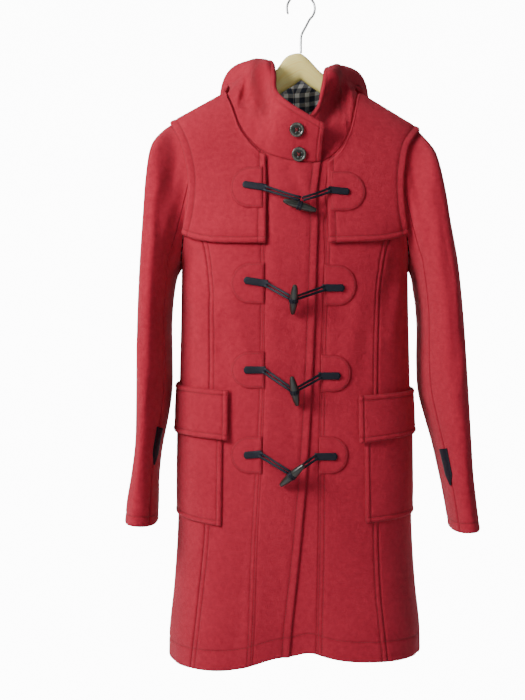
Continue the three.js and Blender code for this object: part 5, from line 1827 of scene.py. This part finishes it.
def make_button(name, x, z):
    at, normal = nearest_on_hood(x, z)
    u = unit(np.array([1.0, 0, 0]) - normal * normal[0])
    v = np.cross(normal, u)
    rings = [ring(at + normal * off, u, v, radius, 40) for off, radius in BUTTON_PROFILE]
    body = loft("button_" + name, rings, [horn])
    holes = []
    for k in range(4):
        a = math.radians(45 + 90 * k)
        centre = at + HOLE_AT * (math.cos(a) * u + math.sin(a) * v)
        rings = [ring(centre + normal * h, u, v, 1.0, 12) for h in (-1.0, 4.4)]
        holes.append(loft(f"hole_{name}_{k}", rings, [horn]))
    cutter = join(f"holes_{name}", holes)
    PIECES.pop(f"holes_{name}")
    cut = body.modifiers.new("holes", "BOOLEAN")
    cut.operation, cut.object, cut.solver = "DIFFERENCE", cutter, "EXACT"
    bpy.context.view_layer.objects.active = body
    bpy.ops.object.modifier_apply(modifier=cut.name)
    bpy.data.objects.remove(cutter, do_unlink=True)
    body.data.materials.append(painted_highlight_horn)
    inner, outer = HIGHLIGHT_RING["radius"]
    # painted highlight: the faces on the rim's crest take the paler horn
    for face in body.data.polygons:  # a paler ring on the rim
        gap = np.array(face.center) - (at - ORIGIN) * MM
        height = gap @ normal
        if height > HIGHLIGHT_RING["above"] and inner < np.linalg.norm(gap - height * normal) < outer:
            face.material_index = 1
    strands = []
    for k in range(2):
        a = math.radians(45 + 90 * k)
        reach = math.cos(a) * u + math.sin(a) * v
        top = 3.6 + 0.3 * k  # the second strand crosses over the first
        arch = ((-HOLE_AT, 1.6), (-2.5, 3.1), (-1.2, top), (1.2, top), (2.5, 3.1), (HOLE_AT, 1.6))
        line = smooth_line([at + normal * h + reach * r for r, h in arch], 14)
        rings = strap_mesh(line, np.tile(normal, (14, 1)), np.full(14, 0.9), 0.7)
        strands.append(loft(f"strand_{name}_{k}", rings, [thread]))
    shank = [ring(at + normal * h, u, v, 2.2, 12) for h in (-0.4, 1.0)]
    strands.append(loft(f"shank_{name}", shank, [thread]))
    join(f"button_thread_{name}", strands)


for name, (x, z) in BUTTONS.items():
    make_button(name, x, z)
print("buttons:", list(BUTTONS))

# %% Pointed leather tabs on the cuffs
TABS = {-1: (0.69, 0.79), 1: (0.745, 0.85)}  # shares of the sleeve's length
TAB = {"width": 26, "length": 30, "thick": 1.6, "bearing": 132, "spread": 13}


def make_tab(side):
    top, low = TABS[side]
    t, s = np.meshgrid(np.linspace(0, 1, 22), np.linspace(0, 1, 13), indexing="ij")
    narrow = np.where(t > 0.7, 1 - 0.85 * ((t - 0.7) / 0.3), 1)
    around = TAB["bearing"] + TAB["spread"] * narrow * (2 * s - 1)
    points = on_sleeve(side, around, lerp(low, top, 1 - t), LAYER_GAP + TAB["thick"])
    wide, long = TAB["width"], TAB["length"]
    edge = np.minimum(np.minimum(s, 1 - s) * wide * narrow, np.minimum(t, 1 - t) * long)
    rise = bump_at(edge, 0, -0.5, 0.8) + bump_at(edge, 2.4, -0.3, 0.7)
    far = {"left": s * wide, "right": (1 - s) * wide, "low": t * long, "top": (1 - t) * long}
    # painted shade along the tab's edge
    mark = bump_at(edge, 0, 1.0, 0.9)
    name = "cuff_tab_" + SIDES[side]
    made, _, _ = cloth_wall(name, points, far, side, rise, mark, thick=TAB["thick"], tuck=0)
    made.data.materials[0] = leather
    CUTS.pop(name)  # it is leather, not a cut of cloth
    return made


for side in (-1, 1):
    print(make_tab(side).name)

# %% Hanger
HANGER = [  # x, top, bottom, half thickness
    (-160, 841, 820, 7), (-148, 847.5, 820, 9), (-125, 858.5, 830, 8.6), (-102, 872.5, 839, 9),
    (-60, 896, 856, 9), (-27, 916, 874, 8), (-9, 938, 886, 8), (3, 943, 893, 8),
    (14, 943, 901, 8), (26, 934, 893, 8), (44, 915, 881, 8), (66, 898, 865, 7),
    (102, 872, 841, 8.4), (130, 856, 826, 10), (166, 833.5, 806, 9), (180, 824.5, 804, 7),
]


def make_hanger():
    line = smooth_line([(x, top, low) for x, top, low, _ in HANGER], 120)
    half = np.interp(line[:, 0], [row[0] for row in HANGER], [row[3] for row in HANGER])
    rings = []
    for (x, top, low), thick in zip(line, half):
        end = min(x - HANGER[0][0], HANGER[-1][0] - x)
        blunt = math.sqrt(min(1.0, (end + 0.6) / 6))
        middle, high = np.array([x, 0, (top + low) / 2]), (top - low) / 2 * blunt
        deep, up = np.array([0, 1.0, 0]) * thick * blunt, np.array([0, 0, 1.0]) * high
        rings.append(ring(middle, deep, up, 1, 24, power=0.8))
    return loft("hanger", rings, [wood])


print("hanger faces:", len(make_hanger().data.polygons))

# %% Hook
HOOK_TOP_Z, HOOK_WIRE, HOOK_INNER, HOOK_X = 1034, 1.9, 20, 14


def make_hook():
    arch = HOOK_INNER + HOOK_WIRE
    path = [(HOOK_X, 0, 943.9), (HOOK_X, 0, 960), (HOOK_X + 1, 0, 972), (HOOK_X + 8, 0, 986)]
    for degrees in range(-50, 206, 15):
        a = math.radians(degrees)
        path.append((HOOK_X + arch * math.cos(a), 0, HOOK_TOP_Z - HOOK_INNER + arch * math.sin(a)))
    line = smooth_line(path, 110)
    along = unit(np.gradient(line, axis=0))
    across = np.array([0, 1.0, 0])
    rings = []
    for i, (at, ahead) in enumerate(zip(line, along)):
        radius = HOOK_WIRE * min(1.0, math.sqrt((len(line) - 0.7 - i) / 2.0))
        rings.append(ring(at, across, np.cross(ahead, across), radius, 14))
    return loft("hook", rings, [steel])


print("hook faces:", len(make_hook().data.polygons))

# %% [markdown]
# ## Stitches
# Thousands of stitches are one short thread laid again and again along a seam, so Geometry Nodes make
# them. The lines kept while the cloth was cut become a mesh of edges with the cloth's own direction on
# each point. The tree turns them into curves, sets points 4 mm apart, stands one stitch on each, along
# the line and square to the cloth, and makes the copies real. The finished mesh is then kept and the
# modifier is gone.

# %% The lines to stitch, as one mesh of edges
STITCH = {"Pitch": 0.004, "Length": 0.0031, "Thickness": 0.0009, "Sink": 0.0001}  # metres


def stitch_lines(tracks):
    points, edges, directions = [], [], []
    for line, normals in tracks:
        start = len(points)
        points += ((np.asarray(line) - ORIGIN) * MM).tolist()
        directions += np.asarray(normals).tolist()
        edges += [(start + i, start + i + 1) for i in range(len(line) - 1)]
    mesh = bpy.data.meshes.new("stitches_piece")
    mesh.from_pydata(points, edges, [])
    cloth_normal = mesh.attributes.new("cloth_normal", "FLOAT_VECTOR", "POINT")
    cloth_normal.data.foreach_set("vector", np.ravel(directions))
    lines = bpy.data.objects.new("stitches_piece", mesh)
    bpy.context.collection.objects.link(lines)
    return lines


lines = stitch_lines(TRACKS)
print("lines to stitch:", len(TRACKS), "points:", len(lines.data.vertices))


# %% The tree that lays the stitches
def stitch_tree():
    tree = bpy.data.node_groups.new("stitch_row", "GeometryNodeTree")
    tree.interface.new_socket("Geometry", in_out="INPUT", socket_type="NodeSocketGeometry")
    for name, value in STITCH.items():
        socket = tree.interface.new_socket(name, in_out="INPUT", socket_type="NodeSocketFloat")
        socket.default_value = value
    tree.interface.new_socket("Thread", in_out="INPUT", socket_type="NodeSocketMaterial")
    tree.interface.new_socket("Geometry", in_out="OUTPUT", socket_type="NodeSocketGeometry")
    given, made = add_node(tree, "NodeGroupInput"), add_node(tree, "NodeGroupOutput")
    link = tree.links.new

    normal = add_node(tree, "GeometryNodeInputNamedAttribute", data_type="FLOAT_VECTOR")
    normal.inputs["Name"].default_value = "cloth_normal"
    curve = add_node(tree, "GeometryNodeMeshToCurve")
    link(given.outputs["Geometry"], curve.inputs["Mesh"])
    spots = add_node(tree, "GeometryNodeCurveToPoints", mode="LENGTH")
    link(curve.outputs["Curve"], spots.inputs["Curve"])
    link(given.outputs["Pitch"], spots.inputs["Length"])

    along = add_node(tree, "FunctionNodeAlignRotationToVector", axis="X")
    link(spots.outputs["Tangent"], along.inputs["Vector"])
    square = add_node(tree, "FunctionNodeAlignRotationToVector", axis="Z", pivot_axis="X")
    link(along.outputs["Rotation"], square.inputs["Rotation"])
    link(normal.outputs["Attribute"], square.inputs["Vector"])

    # one stitch: a low barrel, drawn out along X
    barrel = add_node(tree, "GeometryNodeMeshUVSphere")
    barrel.inputs["Segments"].default_value = 6
    barrel.inputs["Rings"].default_value = 4
    barrel.inputs["Radius"].default_value = 0.5
    turned = add_node(tree, "GeometryNodeTransform")
    turned.inputs["Rotation"].default_value = (0, math.radians(90), 0)
    link(barrel.outputs["Mesh"], turned.inputs["Geometry"])
    size = add_node(tree, "ShaderNodeCombineXYZ")
    for source, axis in (("Length", "X"), ("Thickness", "Y"), ("Thickness", "Z")):
        link(given.outputs[source], size.inputs[axis])

    copies = add_node(tree, "GeometryNodeInstanceOnPoints")
    link(spots.outputs["Points"], copies.inputs["Points"])
    link(turned.outputs["Geometry"], copies.inputs["Instance"])
    link(square.outputs["Rotation"], copies.inputs["Rotation"])
    link(size.outputs["Vector"], copies.inputs["Scale"])
    sunk = add_node(tree, "ShaderNodeVectorMath", operation="SCALE")
    link(normal.outputs["Attribute"], sunk.inputs[0])
    link(math_node(tree, "MULTIPLY", given.outputs["Sink"], -1.0), sunk.inputs["Scale"])
    moved = add_node(tree, "GeometryNodeTranslateInstances")
    moved.inputs["Local Space"].default_value = False
    link(copies.outputs["Instances"], moved.inputs["Instances"])
    link(sunk.outputs["Vector"], moved.inputs["Translation"])
    real = add_node(tree, "GeometryNodeRealizeInstances")
    link(moved.outputs["Instances"], real.inputs["Geometry"])
    dyed = add_node(tree, "GeometryNodeSetMaterial")
    link(real.outputs["Geometry"], dyed.inputs["Geometry"])
    link(given.outputs["Thread"], dyed.inputs["Material"])
    link(dyed.outputs["Geometry"], made.inputs["Geometry"])
    return tree


def lay_stitches(lines, values):
    tree = stitch_tree()
    modifier = lines.modifiers.new("stitches", "NODES")
    modifier.node_group = tree
    for item in tree.interface.items_tree:
        if item.in_out == "INPUT" and item.name in values:
            modifier[item.identifier] = values[item.name]
    graph = bpy.context.evaluated_depsgraph_get()
    mesh = bpy.data.meshes.new_from_object(lines.evaluated_get(graph))
    lines.modifiers.clear()
    lines.data = mesh
    if "cloth_normal" in mesh.attributes:
        mesh.attributes.remove(mesh.attributes["cloth_normal"])
    mesh.name = lines.name
    mesh.shade_smooth()
    return lines


stitches = lay_stitches(lines, {**STITCH, "Thread": thread})
PIECES["stitches"] = stitches
print("stitches:", len(stitches.data.polygons) // 24, "faces:", len(stitches.data.polygons))

# %% [markdown]
# ## Hand over
# Every piece rides on the one body and takes its solid's place: a solid that bears a piece's name is hidden.

# %% Ride and replace
slots = {part["node"]: part["material_slot"] for part in frame["record"]["subparts"]}


for name, piece in PIECES.items():
    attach(piece, "root")
    if name in slots:
        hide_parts(name)

left_over = sorted(set(slots) - set(PIECES))
print("pieces:", len(PIECES), "solids still shown:", left_over)
